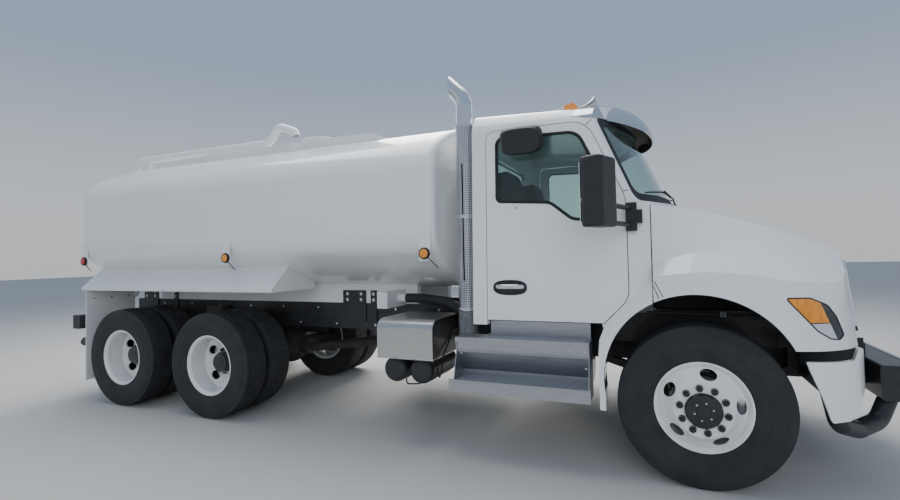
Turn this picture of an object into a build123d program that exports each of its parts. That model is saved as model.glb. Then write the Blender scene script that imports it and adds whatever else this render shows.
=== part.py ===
from build123d import *
import os
from math import cos, radians, sin, sqrt

os.makedirs("parts", exist_ok=True)

# Water tanker truck with a steer axle and a driven tandem. Millimetres, +X forward, +Y left, +Z up.
# The origin is on the ground, under the middle of the truck.

# Clearances
seat_gap = 0.3                  # between curved pieces that sit on each other
panel_gap = 6.0                 # round doors, hood and lid
pin_clearance = 0.05            # radial, for pins and spindles

# Layout along the truck
front_reach = 1290.0            # front axle to the front of the guard
rear_reach = 6700.0             # front axle to the back of the rear bumper
axle = (rear_reach - front_reach) / 2
forward_drive_distance = 4406.0  # front axle to the first driven axle
tandem_spacing = 1320.0
drive_axles = {
    "mid": axle - forward_drive_distance,
    "rear": axle - forward_drive_distance - tandem_spacing,
}

# Wheels and tyres
tyre_facets = 48
front_tyre_radius = 537.5
rear_tyre_radius = 527.5
tyre_width = 280.0
tread_width = 228.0
sidewall_depth = 118.0          # tread down to the widest part of the sidewall
rim_radius = 298.5
rim_width = 236.0
rim_lip = 12.0
rim_well = 30.0                 # how far the barrel steps in between the lips
disc_thickness = 11.0
wheel_offset = 168.0            # rim centre to the mounting face
pilot_radius = 110.0
flat_radius = 178.0             # flat of the disc round the nuts
hand_hole_circle = 224.0
hand_hole_count = 5
hand_hole_turn = 10.0           # degrees from the top to the first hole
hand_hole_size = (52.0, 32.0)   # half length round the wheel, half height
drum_radius = 205.0
drum_wall = 12.0
drum_depth = 150.0
front_hub_reach = 44.0          # hub past the mounting face
drive_hub_reach = 154.0
spindle_radius = 38.0
front_track_half = 1035.0       # middle of the front tyre
dual_track_half = 922.0         # mounting face between the twin rims

# Steering
kingpin_y = 870.0
kingpin_radius = 24.0
kingpin_boss_radius = 42.0
kingpin_boss_height = 130.0
knuckle_ear = 34.0
knuckle_gap = 5.5
backing_plate_radius = 188.0
backing_plate_thickness = 8.0
steering_arm_length = 175.0
tie_rod_radius = 18.0
tie_rod_drop = 80.0             # tie rod below the spindle
stud_radius = 9.0

# Frame
rail_outside = 430.0
rail_height = 270.0
rail_top = 1100.0
rail_flange = 88.0
rail_web = 10.0
rail_front = axle + 800.0
rail_rear = axle - 6560.0
crossmember_distances = (765.0, -1150.0, -2350.0, -3560.0, -5066.0, -6500.0)
crossmember_width = 70.0

# Tank
tank_front = axle - 1900.0
tank_rear = axle - 6410.0
tank_half_width = 1220.0
tank_top = 2830.0
tank_bottom = 1250.0
tank_arc = 2050.0               # radius of the top and bottom of the tank
tank_top_corner = 350.0
tank_bottom_corner = 210.0
head_knuckle = 60.0
sill_width = 84.0
side_lamp_distances = (-4140.0, -1975.0)
rear_lamp_distance = -6340.0
side_lamp_z = 1596.0
side_lamp_radius = 36.0
side_lamp_depth = 20.0
sill_front = axle - 2450.0
sill_rear = axle - 6120.0

# Cab
cab_back = axle - 1622.0
cab_front = axle - 285.0
cab_half_width = 1080.0         # at the foot of the doors
cab_lean = 0.0395               # how much the sides lean in, for each unit of height
cab_foot = 1060.0
cab_eave = 2700.0
cab_roof = 2862.0               # at the back of the roof
roof_fall = 0.045
roof_corner = 200.0
cab_wall = 55.0
cab_floor_bottom = 1100.0
cab_floor = 45.0
cowl_top = 1930.0
cowl_foot = 1600.0
cowl_arc = 2000.0               # radius of the cowl seen from above
screen_base = axle - 85.0       # middle of the windshield at the cowl
screen_rake = 0.45              # how far the windshield leans back, for each unit of height
screen_arc = 1950.0             # radius of the windshield seen from above
glass_thickness = 6.0
glass_depth = 20.0              # glass behind the outer skin

# Hood
hood_rear = cab_front + panel_gap + 2
hood_wall = 16.0
hood_pivot_x = axle + 1065.0
hood_pivot_z = 862.0
arch_radius = 590.0
arch_x = axle - 20.0
arch_z = 690.0
house_inside = 700.0            # inner side of the wheel houses under the cab
house_wall = 30.0
fender_half_width = 1215.0


# Small makers of plain shapes

def block(x0, x1, y0, y1, z0, z1):
    box = Box(abs(x1 - x0), abs(y1 - y0), abs(z1 - z0))
    return Pos((x0 + x1) / 2, (y0 + y1) / 2, (z0 + z1) / 2) * box


def rod(start, end, radius):
    start = Vector(*start)
    run = Vector(*end) - start
    return Part() + Solid.make_cylinder(radius, run.length, Plane(origin=start, z_dir=run))


def tube(points, radii, radius, wall=0.0):
    path = FilletPolyline(*points, radius=radii)
    plane = Plane(origin=path @ 0, z_dir=path % 0)
    section = Circle(radius)
    if wall:
        section = section - Circle(radius - wall)
    return sweep(plane * section, path=path)


def outline(corners):
    """Closed face from (u, v, corner radius) rows."""
    points = [(u, v) for u, v, _ in corners]
    radii = [r for _, _, r in corners]
    return make_face(FilletPolyline(*points, radius=radii, close=True))


def side_prism(face, y0, y1):
    """Face drawn as (x, z), from y0 down to y1."""
    plane = Plane(origin=(0, max(y0, y1), 0), x_dir=(1, 0, 0), z_dir=(0, -1, 0))
    return extrude(plane * face, abs(y1 - y0))


def cross_prism(face, x0, x1):
    """Face drawn as (y, z), from x0 up to x1."""
    plane = Plane(origin=(min(x0, x1), 0, 0), x_dir=(0, 1, 0), z_dir=(1, 0, 0))
    return extrude(plane * face, abs(x1 - x0))


def plan_prism(face, z0, z1):
    """Face drawn as (x, y), from z0 up to z1."""
    return extrude(Plane(origin=(0, 0, min(z0, z1))) * face, abs(z1 - z0))


def both_sides(shape):
    return shape + shape.mirror(Plane.XZ)


def save(name, shape):
    export_step(shape, f"parts/{name}.step")


# Wheels

def facet_ring(stations):
    """Solid through regular outlines at (y, radius) stations; the flat lies at the bottom."""
    turn = 180 / tyre_facets
    sections = [
        Plane(origin=(0, y, 0), x_dir=(1, 0, 0), z_dir=(0, -1, 0))
        * RegularPolygon(radius, tyre_facets, major_radius=False, rotation=90 + turn)
        for y, radius in stations
    ]
    return loft(sections, ruled=True)


def tyre(radius):
    half_tread = tread_width / 2
    half_width = tyre_width / 2
    widest = radius - sidewall_depth
    bead = rim_radius + seat_gap
    bead_half = rim_width / 2 - rim_lip / 2
    body = facet_ring([
        (-half_width, widest), (-half_tread, radius), (half_tread, radius), (half_width, widest),
    ])
    body -= facet_ring([(-half_width - 1, bead), (half_width + 1, bead)])
    slope = (widest - bead) / (half_width - bead_half)
    for side in (-1, 1):
        flare = [(side * bead_half, bead), (side * (half_width + 1), widest + slope)]
        body -= facet_ring(flare if side > 0 else flare[::-1])
    return body


def revolve_about_y(points):
    """Solid of revolution about the wheel's axle from (y, radius) points."""
    face = make_face(Polyline(*[(radius, y) for y, radius in points], close=True))
    plane = Plane(origin=(0, 0, 0), x_dir=(1, 0, 0), z_dir=(0, 0, 1))
    return revolve(plane * face, Axis.Y)


def rim(offset):
    """Rim about the origin; offset is where its mounting face stands along +Y."""
    side = 1 if offset > 0 else -1
    half = rim_width / 2
    inner = rim_radius - rim_lip
    well = rim_radius - rim_well
    barrel = revolve_about_y([
        (-half, rim_radius), (half, rim_radius), (half, inner), (half * 0.8, well),
        (-half * 0.8, well), (-half, inner),
    ])
    face = abs(offset)
    disc = revolve_about_y([
        (side * face, pilot_radius), (side * (face + disc_thickness), pilot_radius),
        (side * (face + disc_thickness), flat_radius), (side * (half * 0.72), well + 2),
        (side * (half * 0.72 - disc_thickness * 1.4), well + 2), (side * face, flat_radius - 3),
    ])
    hole = Plane.XZ * Ellipse(*hand_hole_size)
    for index in range(hand_hole_count):
        cutter = extrude(Pos(0, 0, hand_hole_circle) * hole, face * 2, both=True)
        disc -= Rot(0, 360 / hand_hole_count * index + hand_hole_turn, 0) * cutter
    return barrel + disc


def hub(reach_out, drum_start):
    """Hub and drum about the origin, where the origin is on the mounting face and +Y is outboard."""
    bore = spindle_radius + pin_clearance
    drum = revolve_about_y([
        (-drum_start, drum_radius), (-drum_start, drum_radius + drum_wall),
        (0, drum_radius * 0.84), (0, bore), (-drum_start + 30, bore), (-drum_start + 30, 80), (-26, 96),
        (-26, drum_radius * 0.84 - drum_wall), (-drum_start + 90, drum_radius),
    ])
    cap = revolve_about_y([
        (-1, bore), (-1, pilot_radius), (reach_out * 0.7, pilot_radius - seat_gap), (reach_out, 88),
        (reach_out, bore),
    ])
    return drum + cap


outset_rim = rim(wheel_offset)
inset_rim = rim(-wheel_offset)
front_mount = front_track_half + wheel_offset
front_metal = Pos(axle, front_track_half, front_tyre_radius) * outset_rim
front_metal += Pos(axle, front_mount, front_tyre_radius) * hub(front_hub_reach, drum_depth)
front_ring = Pos(axle, front_track_half, front_tyre_radius) * tyre(front_tyre_radius)
save("front_rim_left", front_metal)
save("front_tyre_left", front_ring)
save("front_rim_right", front_metal.mirror(Plane.XZ))
save("front_tyre_right", front_ring.mirror(Plane.XZ))

outer_centre = dual_track_half + wheel_offset
inner_centre = dual_track_half - wheel_offset
twin_metal = Pos(0, outer_centre, 0) * inset_rim + Pos(0, inner_centre, 0) * outset_rim
twin_metal += Pos(0, dual_track_half, 0) * hub(drive_hub_reach, drum_depth)
rear_tyre = tyre(rear_tyre_radius)
twin_rings = Pos(0, outer_centre, 0) * rear_tyre + Pos(0, inner_centre, 0) * rear_tyre
for axle_name, axle_position in drive_axles.items():
    place = Pos(axle_position, 0, rear_tyre_radius)
    save(f"{axle_name}_rims_left", place * twin_metal)
    save(f"{axle_name}_tyres_left", place * twin_rings)
    save(f"{axle_name}_rims_right", place * twin_metal.mirror(Plane.XZ))
    save(f"{axle_name}_tyres_right", place * twin_rings.mirror(Plane.XZ))


# Steering knuckles and tie rod

def knuckle():
    """Left knuckle: kingpin, two ears, backing plate, spindle and steering arm."""
    z = front_tyre_radius
    half = kingpin_boss_height / 2
    plate_y = front_mount - drum_depth - panel_gap - backing_plate_thickness
    pin_reach = half + knuckle_ear
    body = rod((axle, kingpin_y, z - pin_reach), (axle, kingpin_y, z + pin_reach), kingpin_radius)
    for low in (z - half - knuckle_gap - knuckle_ear, z + half + knuckle_gap):
        body += Pos(axle, kingpin_y, low + knuckle_ear / 2) * Cylinder(kingpin_boss_radius, knuckle_ear)
        body += block(axle - kingpin_boss_radius, axle + kingpin_boss_radius, kingpin_y, plate_y,
                      low, low + knuckle_ear)
    body += block(axle - 55, axle + 55, plate_y - 60, plate_y, z - half - knuckle_ear, z + half + knuckle_ear)
    body += rod((axle, plate_y, z), (axle, plate_y + backing_plate_thickness, z), backing_plate_radius)
    body += rod((axle, plate_y, z), (axle, front_mount + front_hub_reach - 12, z), spindle_radius)
    arm_z = z - tie_rod_drop
    arm_back = axle - steering_arm_length - 30
    body += block(arm_back, axle, kingpin_y - 24, kingpin_y + 24, arm_z - 50, arm_z - 26)
    body += block(axle - 60, axle, kingpin_y - 24, plate_y, arm_z - 50, arm_z - 26)
    arm_x = axle - steering_arm_length
    body += rod((arm_x, kingpin_y, arm_z - 30), (arm_x, kingpin_y, arm_z + 34), stud_radius)
    return body


left_knuckle = knuckle()
save("knuckle_left", left_knuckle)
save("knuckle_right", left_knuckle.mirror(Plane.XZ))

tie_rod_x = axle - steering_arm_length
tie_rod_z = front_tyre_radius - tie_rod_drop
tie_rod = rod((tie_rod_x, -kingpin_y, tie_rod_z), (tie_rod_x, kingpin_y, tie_rod_z), tie_rod_radius)
for side in (-1, 1):
    tie_rod += Pos(tie_rod_x, side * kingpin_y, tie_rod_z + 2) * Cylinder(tie_rod_radius + 6, 44)
    tie_rod -= Pos(tie_rod_x, side * kingpin_y, tie_rod_z + 2) * Cylinder(stud_radius + pin_clearance, 60)
save("tie_rod", tie_rod)


# Front axle beam: bosses at the kingpins, drop centre, spring pads

beam_drop = 45.0
beam_half_height = 42.0
beam_half_depth = 44.0
beam_z = front_tyre_radius - beam_drop
spring_width = 76.0
spring_thickness = 60.0
spring_y = rail_outside - 45
half_boss = kingpin_boss_height / 2

beam_face = outline([
    (-kingpin_y, front_tyre_radius + half_boss, 0), (-700, front_tyre_radius + 30, 60),
    (-520, beam_z + beam_half_height, 60), (520, beam_z + beam_half_height, 60),
    (700, front_tyre_radius + 30, 60), (kingpin_y, front_tyre_radius + half_boss, 0),
    (kingpin_y, front_tyre_radius - half_boss, 0), (760, front_tyre_radius - half_boss, 30),
    (560, beam_z - beam_half_height, 60), (-560, beam_z - beam_half_height, 60),
    (-760, front_tyre_radius - half_boss, 30), (-kingpin_y, front_tyre_radius - half_boss, 0),
])
front_axle_beam = cross_prism(beam_face, axle - beam_half_depth, axle + beam_half_depth)
for side in (-1, 1):
    boss = Pos(axle, side * kingpin_y, front_tyre_radius)
    front_axle_beam += boss * Cylinder(kingpin_boss_radius, kingpin_boss_height)
    front_axle_beam -= boss * Cylinder(kingpin_radius + pin_clearance, kingpin_boss_height + 1)
save("front_axle", front_axle_beam)

# Front leaf springs, each with its hangers up to the frame

pad_top = beam_z + beam_half_height
spring_reach = 720.0
spring_rise = 130.0
spring_top = ThreePointArc((axle - spring_reach, pad_top + spring_rise + spring_thickness),
                           (axle, pad_top + spring_thickness),
                           (axle + spring_reach, pad_top + spring_rise + spring_thickness))
spring_bottom = ThreePointArc((axle + spring_reach, pad_top + spring_rise),
                              (axle, pad_top),
                              (axle - spring_reach, pad_top + spring_rise))
spring_ends = [Line(spring_top @ 1, spring_bottom @ 0), Line(spring_bottom @ 1, spring_top @ 0)]
spring_face = make_face([spring_top, spring_ends[0], spring_bottom, spring_ends[1]])
front_springs = Part()
rail_bottom = rail_top - rail_height
for side in (-1, 1):
    spring = side_prism(spring_face, side * spring_y + spring_width / 2, side * spring_y - spring_width / 2)
    for end in (-1, 1):
        hanger_x = axle + end * (spring_reach - 50)
        spring += block(hanger_x - 45, hanger_x + 45, side * spring_y - spring_width / 2,
                        side * spring_y + spring_width / 2, pad_top + spring_rise, rail_bottom)
    front_springs += spring
save("front_springs", front_springs)


# Frame rails with crossmembers and the bolted tank brackets

def rail(side):
    web = block(rail_rear, rail_front, side * rail_outside, side * (rail_outside - rail_web),
                rail_bottom, rail_top)
    flange_inside = side * (rail_outside - rail_flange)
    for low in (rail_bottom, rail_top - rail_web):
        web += block(rail_rear, rail_front, flange_inside, side * rail_outside, low, low + rail_web)
    return web


bracket_distances = (-3185.0, -2950.0, -5845.0, -6300.0)
bracket_widths = (280.0, 70.0, 60.0, 260.0)
bracket_thickness = 14.0
bracket_top = 1232.0

frame = rail(1) + rail(-1)
for distance in crossmember_distances:
    frame += block(axle + distance - crossmember_width / 2, axle + distance + crossmember_width / 2,
                   -rail_outside + rail_web, rail_outside - rail_web, rail_bottom + 40, rail_top - 40)
for distance, width in zip(bracket_distances, bracket_widths):
    for side in (-1, 1):
        frame += block(axle + distance - width / 2, axle + distance + width / 2,
                       side * rail_outside, side * (rail_outside + bracket_thickness),
                       rail_top - 190, bracket_top)
save("frame_rails", frame)


# Engine and gearbox block, radiator

engine_half = 320.0
engine_back = axle - 270.0
engine_front = axle + 720.0
gearbox_half = 200.0
gearbox_back = axle - 1080.0
engine = block(engine_back, engine_front, -engine_half, engine_half, 600, 1420)
engine += block(gearbox_back, engine_back, -gearbox_half, gearbox_half, 640, 930)
for side in (-1, 1):
    engine += block(axle + 120, axle + 260, side * engine_half, side * (rail_outside - rail_web), 880, 960)
save("engine_block", engine)

radiator_half = 430.0
radiator_back = axle + 862.0
radiator_thickness = 88.0
radiator = block(radiator_back, radiator_back + radiator_thickness, -radiator_half, radiator_half, 720, 1440)
for side in (-1, 1):
    lug_outside = side * (radiator_half - 5)
    radiator += block(rail_front, radiator_back, side * (radiator_half - 80), lug_outside, 880, 980)
save("radiator", radiator)


# Driven axles, their beams and the driveshafts

housing_radius = 68.0
bowl_radius = 205.0
bowl_back = 150.0
pinion_reach = 300.0
walking_beam_width = 90.0
walking_beam_y = 560.0

housings = Part()
for x in drive_axles.values():
    z = rear_tyre_radius
    reach = dual_track_half - drum_depth - panel_gap
    housing = rod((x, -reach, z), (x, reach, z), housing_radius)
    bowl = Pos(x, 0, z) * Sphere(bowl_radius)
    housing += bowl & block(x - bowl_back, x + 260, -300, 300, 200, 900)
    housing += rod((x + 120, 0, z), (x + pinion_reach, 0, z), 90)
    for side in (-1, 1):
        housing += rod((x, side * reach, z), (x, side * (reach + drum_depth + 120), z), spindle_radius)
        housing += rod((x, side * (reach - 10), z), (x, side * reach, z), backing_plate_radius)
    housings += housing

tandem_centre = (drive_axles["mid"] + drive_axles["rear"]) / 2
beam_low = rear_tyre_radius + housing_radius + seat_gap
beam_half = tandem_spacing / 2
walking_face = outline([
    (tandem_centre - beam_half - 110, beam_low, 0), (tandem_centre - beam_half - 110, beam_low + 80, 30),
    (tandem_centre - 150, beam_low + 150, 80), (tandem_centre + 150, beam_low + 150, 80),
    (tandem_centre + beam_half + 110, beam_low + 80, 30), (tandem_centre + beam_half + 110, beam_low, 0),
])
suspension = Part()
for side in (-1, 1):
    middle = side * walking_beam_y
    beam = side_prism(walking_face, middle + walking_beam_width / 2, middle - walking_beam_width / 2)
    beam += block(tandem_centre - 120, tandem_centre + 120, side * rail_outside, middle,
                  beam_low + 60, rail_top - 60)
    suspension += beam
save("tandem_suspension", suspension)

shaft_radius = 50.0
shaft_z = 690.0
gearbox_z = 760.0
yoke_length = 90.0
pinion_x = drive_axles["mid"] + pinion_reach
joints = [
    (gearbox_back - yoke_length, gearbox_z), (axle - 2700, shaft_z),
    (pinion_x + yoke_length, rear_tyre_radius),
]
shafts = rod((gearbox_back, 0, gearbox_z), (joints[0][0], 0, gearbox_z), shaft_radius)
shafts += rod((joints[2][0], 0, rear_tyre_radius), (pinion_x, 0, rear_tyre_radius), shaft_radius)
for (x0, z0), (x1, z1) in zip(joints, joints[1:]):
    shafts += rod((x0, 0, z0), (x1, 0, z1), shaft_radius)
for x, z in joints:
    shafts += Pos(x, 0, z) * Sphere(shaft_radius + 8)
shafts += rod((drive_axles["mid"] - bowl_back, 0, rear_tyre_radius),
              (drive_axles["rear"] + pinion_reach, 0, rear_tyre_radius), shaft_radius - 8)
save("drive_axles", housings + shafts)


# Tank

def tank_face(grow=0.0):
    """Tank section as (y, z); grow moves its walls out."""
    half = tank_half_width + grow
    arc = tank_arc + grow
    top_centre = tank_top - tank_arc
    bottom_centre = tank_bottom + tank_arc
    rise = sqrt(arc * arc - half * half)
    high = top_centre + rise
    low = bottom_centre - rise
    top = ThreePointArc((half, high), (0, top_centre + arc), (-half, high))
    bottom = ThreePointArc((-half, low), (0, bottom_centre - arc), (half, low))
    face = make_face([top, Line(top @ 1, bottom @ 0), bottom, Line(bottom @ 1, top @ 0)])
    upper = face.vertices().filter_by(lambda v: v.Y > tank_top - tank_arc / 2)
    face = fillet(upper, tank_top_corner + grow)
    lower = face.vertices().filter_by(lambda v: v.Y < tank_bottom + tank_arc / 4)
    lower = lower.filter_by(lambda v: abs(v.X) > half - 1).sort_by(Axis.Y)[:2]
    return fillet(lower, tank_bottom_corner + grow)


def tank_height(y):
    return tank_top - tank_arc + sqrt(tank_arc ** 2 - y * y)


tank = cross_prism(tank_face(), tank_rear, tank_front)
head_edges = tank.faces().sort_by(Axis.X)[-1].edges() + tank.faces().sort_by(Axis.X)[0].edges()
tank = fillet(head_edges, head_knuckle)
plate_half = 52.0               # plates that carry the lamps on the tank's sides
plate_thickness = 7.0
plate_face = tank_half_width + 6
for distance in (*side_lamp_distances, rear_lamp_distance):
    for side in (-1, 1):
        tank += block(axle + distance - plate_half, axle + distance + plate_half,
                      side * (plate_face - plate_thickness), side * plate_face,
                      side_lamp_z - 60, side_lamp_z + 190)
save("tank_shell", tank)

around_tank = cross_prism(tank_face(seat_gap), tank_rear, tank_front)

sills = Part()
for side in (-1, 1):
    sills += block(sill_rear, sill_front, side * (rail_outside - sill_width), side * rail_outside,
                   rail_top, tank_bottom + 80)
sills -= around_tank

# Side skirts: a sloping plate with a lip on each side and a closing plate across its front end

skirt_front = axle - 3572.0
skirt_rear = axle - 6400.0
skirt_edge_z = 1290.0
skirt_lip = 28.0
skirt_plate = 6.0
skirt_outside = tank_half_width + 3
skirt_top_y = 960.0
skirt_top_z = 1530.0
closing_inside = 600.0

skirt_foot = skirt_edge_z - skirt_lip
skirt_inside = skirt_outside - skirt_plate
skirt_face = make_face(Polyline(
    (skirt_top_y, skirt_top_z), (skirt_outside, skirt_edge_z), (skirt_outside, skirt_foot),
    (skirt_inside, skirt_foot), (skirt_inside, skirt_edge_z - 3),
    (skirt_top_y, skirt_top_z - skirt_plate * 1.4), close=True))
closing_face = make_face(Polyline(
    (closing_inside, skirt_top_z), (skirt_top_y, skirt_top_z), (skirt_outside, skirt_edge_z),
    (skirt_outside, skirt_foot), (closing_inside, skirt_foot), close=True))
skirt = cross_prism(skirt_face, skirt_rear, skirt_front)
skirt += cross_prism(closing_face, skirt_front - skirt_plate, skirt_front)
skirt -= around_tank
save("side_skirts", both_sides(skirt))

# Mudflaps behind the rear wheels

flap_x = axle - 6340.0
flap_thickness = 12.0
flap_inside = 640.0
flap_outside = 1213.0
flap_foot = 234.0
flap_gap = 12.0
flap_face = make_face(Polyline(
    (flap_inside, flap_foot), (flap_outside, flap_foot), (flap_outside, skirt_edge_z - flap_gap),
    (skirt_top_y, skirt_top_z - flap_gap), (flap_inside, skirt_top_z - flap_gap), close=True))
flap = cross_prism(flap_face, flap_x, flap_x + flap_thickness) - around_tank
save("mudflaps", both_sides(flap))

# Spill dam and manhole collars on the tank top

dam_front = axle - 2870.0
dam_rear = axle - 5140.0
dam_half = 560.0
dam_wall = 6.0
dam_top = 2836.0
fill_y = -500.0                 # fill pipe and its port
manhole_x = axle - 3870.0
manhole_radius = 262.0
manhole_wall = 8.0
manhole_top = 2946.0
vent_x = axle - 4650.0
vent_radius = 150.0

vent_top = 2950.0
port_x = axle - 3880.0
port_radius = 120.0
port_top = 2835.0
dam_foot = 2700.0


def collar(x, y, radius, wall, top):
    """Upright ring on the tank top."""
    ring = Circle(radius) - Circle(radius - wall)
    return extrude(Pos(x, y, dam_foot) * ring, top - dam_foot)


dam = block(dam_rear, dam_front, -dam_half, dam_half, dam_foot, dam_top)
dam -= block(dam_rear + dam_wall, dam_front - dam_wall, -dam_half + dam_wall, dam_half - dam_wall, 2600, 3000)
dam += collar(manhole_x, 0, manhole_radius, manhole_wall, manhole_top)
dam += collar(port_x, fill_y, port_radius, dam_wall, port_top)
dam += extrude(Pos(vent_x, 0, dam_foot) * Circle(vent_radius), vent_top - dam_foot)

# Manhole lid, hinged at the front

lid_thickness = 20.0
lid_boss = 18.0                 # raised middle of the lid
lid_overhang = 14.0
lid_pin_x = manhole_x + manhole_radius + 34
lid_pin_z = manhole_top + 10
lid_pin_radius = 6.0
lid_knuckle_radius = 13.0
lid_knuckle_half = 24.0
hinge_half = 44.0
lid_low = manhole_top + seat_gap
lid_high = manhole_top + lid_thickness
lid = extrude(Pos(manhole_x, 0, lid_low) * Circle(manhole_radius + lid_overhang), lid_thickness)
lid += extrude(Pos(manhole_x, 0, lid_low) * Circle(manhole_radius - 60), lid_thickness + lid_boss)
knuckle_from = (lid_pin_x, -lid_knuckle_half, lid_pin_z)
knuckle_to = (lid_pin_x, lid_knuckle_half, lid_pin_z)
lid_edge = manhole_x + manhole_radius - 10
lid += block(lid_edge, lid_pin_x, -lid_knuckle_half, lid_knuckle_half, lid_low, lid_high)
lid += rod(knuckle_from, knuckle_to, lid_knuckle_radius)
lid -= rod((lid_pin_x, -50, lid_pin_z), (lid_pin_x, 50, lid_pin_z), lid_pin_radius + pin_clearance)
save("manhole_lid", lid)

hinge = rod((lid_pin_x, -hinge_half, lid_pin_z), (lid_pin_x, hinge_half, lid_pin_z), lid_pin_radius)
for side in (-1, 1):
    hinge += block(lid_pin_x - 12, lid_pin_x + 12, side * (lid_knuckle_half + panel_gap), side * hinge_half,
                   dam_foot, lid_pin_z + 12)
hinge += block(lid_pin_x - 12, lid_pin_x + 12, -hinge_half, hinge_half, dam_foot, 2860)
save("tank_dam", (dam + hinge) - around_tank)

# Fill pipe: hydrant inlet at the back, riser, run along the tank top and a gooseneck

fill_radius = 44.5
fill_wall = 5.0
fill_run_z = 2890.0
riser_x = tank_rear - 90.0
inlet_z = 1150.0
inlet_x = axle - rear_reach
fill_pipe = tube(
    [(inlet_x, fill_y, inlet_z), (riser_x, fill_y, inlet_z), (riser_x, fill_y, fill_run_z),
     (axle - 4260, fill_y, fill_run_z), (axle - 4110, fill_y, 3064), (port_x - 25, fill_y, 2985),
     (port_x, fill_y, 2925)],
    [90, 120, 110, 80, 40], fill_radius, fill_wall)
for distance in (-6240.0, -4580.0):
    fill_pipe += block(axle + distance - 15, axle + distance + 15, fill_y - 20, fill_y + 20,
                       tank_height(520) + seat_gap, fill_run_z - fill_radius + 3)
for z in (1500, 2400):
    fill_pipe += block(riser_x + fill_radius - 3, tank_rear - seat_gap, fill_y - 20, fill_y + 20, z, z + 40)
save("fill_pipe", fill_pipe - around_tank)

# Ladder on the back of the tank

ladder_y = (480.0, 870.0)
ladder_x = tank_rear - 110.0
ladder_foot = 760.0
ladder_head = 2960.0
ladder_over = tank_rear + 260.0  # where the rails come down on the tank top
rung_pitch = 300.0
ladder = Part()
for y in ladder_y:
    ladder += tube([(ladder_x, y, ladder_foot), (ladder_x, y, ladder_head), (ladder_over, y, ladder_head),
                    (ladder_over, y, tank_height(y) + seat_gap)], [90, 90], 18)
    for z in (1500, 2400):
        ladder += block(ladder_x, tank_rear - seat_gap, y - 12, y + 12, z, z + 40)
for index in range(7):
    z = ladder_foot + 140 + index * rung_pitch
    ladder += rod((ladder_x, ladder_y[0], z), (ladder_x, ladder_y[1], z), 14)
save("rear_ladder", ladder - around_tank)

# Rear bumper, tail lamps and spray bar

bumper_bottom = 800.0
bumper_top = 960.0
bumper_half = 1150.0
tail_lamp_depth = 14.0
bumper_back = axle - rear_reach + tail_lamp_depth
bumper_sheet = 8.0
rear_bumper = block(bumper_back, rail_rear, -bumper_half, bumper_half, bumper_bottom, bumper_top)
rear_bumper -= block(bumper_back + bumper_sheet, rail_rear - bumper_sheet, -bumper_half + bumper_sheet,
                     bumper_half - bumper_sheet, bumper_bottom - 10, bumper_top - bumper_sheet)
save("rear_bumper", rear_bumper)

spray_x = axle - 6450.0
spray_z = 672.0
spray_radius = 38.0
spray_half = 1165.0
spray = rod((spray_x, -spray_half, spray_z), (spray_x, spray_half, spray_z), spray_radius)
for side in (-1, 1):
    head_y = side * (spray_half - 60)
    spray += block(spray_x - 20, spray_x + 20, side * (rail_outside - 60), side * (rail_outside - 20),
                   spray_z, rail_bottom)
    spray += rod((spray_x, head_y, spray_z), (spray_x - 90, head_y, spray_z - 30), 46)
save("spray_bar", spray)

# Battery box with its air tanks below, on the right

battery_front = axle - 1935.0
battery_rear = axle - 2450.0
battery_outside = -1200.0
battery_inside = -620.0
battery_bottom = 729.0
battery_top = 1050.0
battery_face = outline([(battery_inside, battery_bottom, 0), (battery_inside, battery_top, 0),
                        (battery_outside, battery_top, 90), (battery_outside, battery_bottom, 0)])
battery_box = cross_prism(battery_face, battery_rear, battery_front)
for x in (battery_rear + 40, battery_front - 80):
    battery_box += block(x, x + 40, battery_inside, -rail_outside, 860, 960)
save("battery_box", battery_box)

air_tank_radius = 108.0
air_tank_z = battery_bottom - air_tank_radius - seat_gap
air_tanks = Part()
for distance in (-2325.0, -2080.0):
    cylinder = rod((axle + distance, -1140, air_tank_z), (axle + distance, -560, air_tank_z), air_tank_radius)
    air_tanks += fillet(cylinder.edges().filter_by(GeomType.CIRCLE), 45)
save("air_tanks", air_tanks)

# Outrigger box at the front of the tank, with its stub, and the hose from there to the frame

outrigger_face = axle - 2580.0
outrigger = block(outrigger_face - 110, outrigger_face, -800, -rail_outside, 1090, 1245)
stub_y = -560.0
stub_z = 1172.0
stub_radius = 40.0
stub_end = axle - 2500.0
outrigger += rod((outrigger_face - 1, stub_y, stub_z), (stub_end, stub_y, stub_z), stub_radius)
save("tank_sills", sills + outrigger)

hose_radius = 44.0
hose = tube([(stub_end, stub_y, stub_z), (axle - 2330, stub_y, stub_z), (axle - 1980, -700, 1152),
             (axle - 1830, -700, 1030), (axle - 1800, -610, 960), (axle - 1800, -rail_outside, 960)],
            [300, 150, 60, 60], hose_radius)
save("water_hose", hose)

# Exhaust: silencer behind the steps, stack and its shield

stack_x = axle - 1721.0
stack_y = -930.0
stack_radius = 66.5
stack_bend = 2900.0             # where the lines of the pipe's two straights meet
stack_bend_radius = 165.0
stack_run = 250.0               # the bent end runs back as far as it rises
stack_mouth = axle - 1845.0     # upright cut across the bent end
can_y = -720.0
can_z = 700.0
can_radius = 150.0
can_front = axle - 740.0
can_rear = axle - 1500.0
can_strap_inset = 200.0
can_strap_width = 50.0
stack_wall = 3.0
stack = tube([(can_rear, can_y, can_z), (stack_x, can_y, can_z), (stack_x, stack_y, can_z + 100),
              (stack_x, stack_y, stack_bend), (stack_x - stack_run, stack_y, stack_bend + stack_run)],
             [80, 80, stack_bend_radius], stack_radius, stack_wall)
stack -= block(stack_mouth - 400, stack_mouth, stack_y - 100, stack_y + 100,
               stack_bend - 100, stack_bend + 400)
silencer = rod((can_rear, can_y, can_z), (can_front, can_y, can_z), can_radius)
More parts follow.
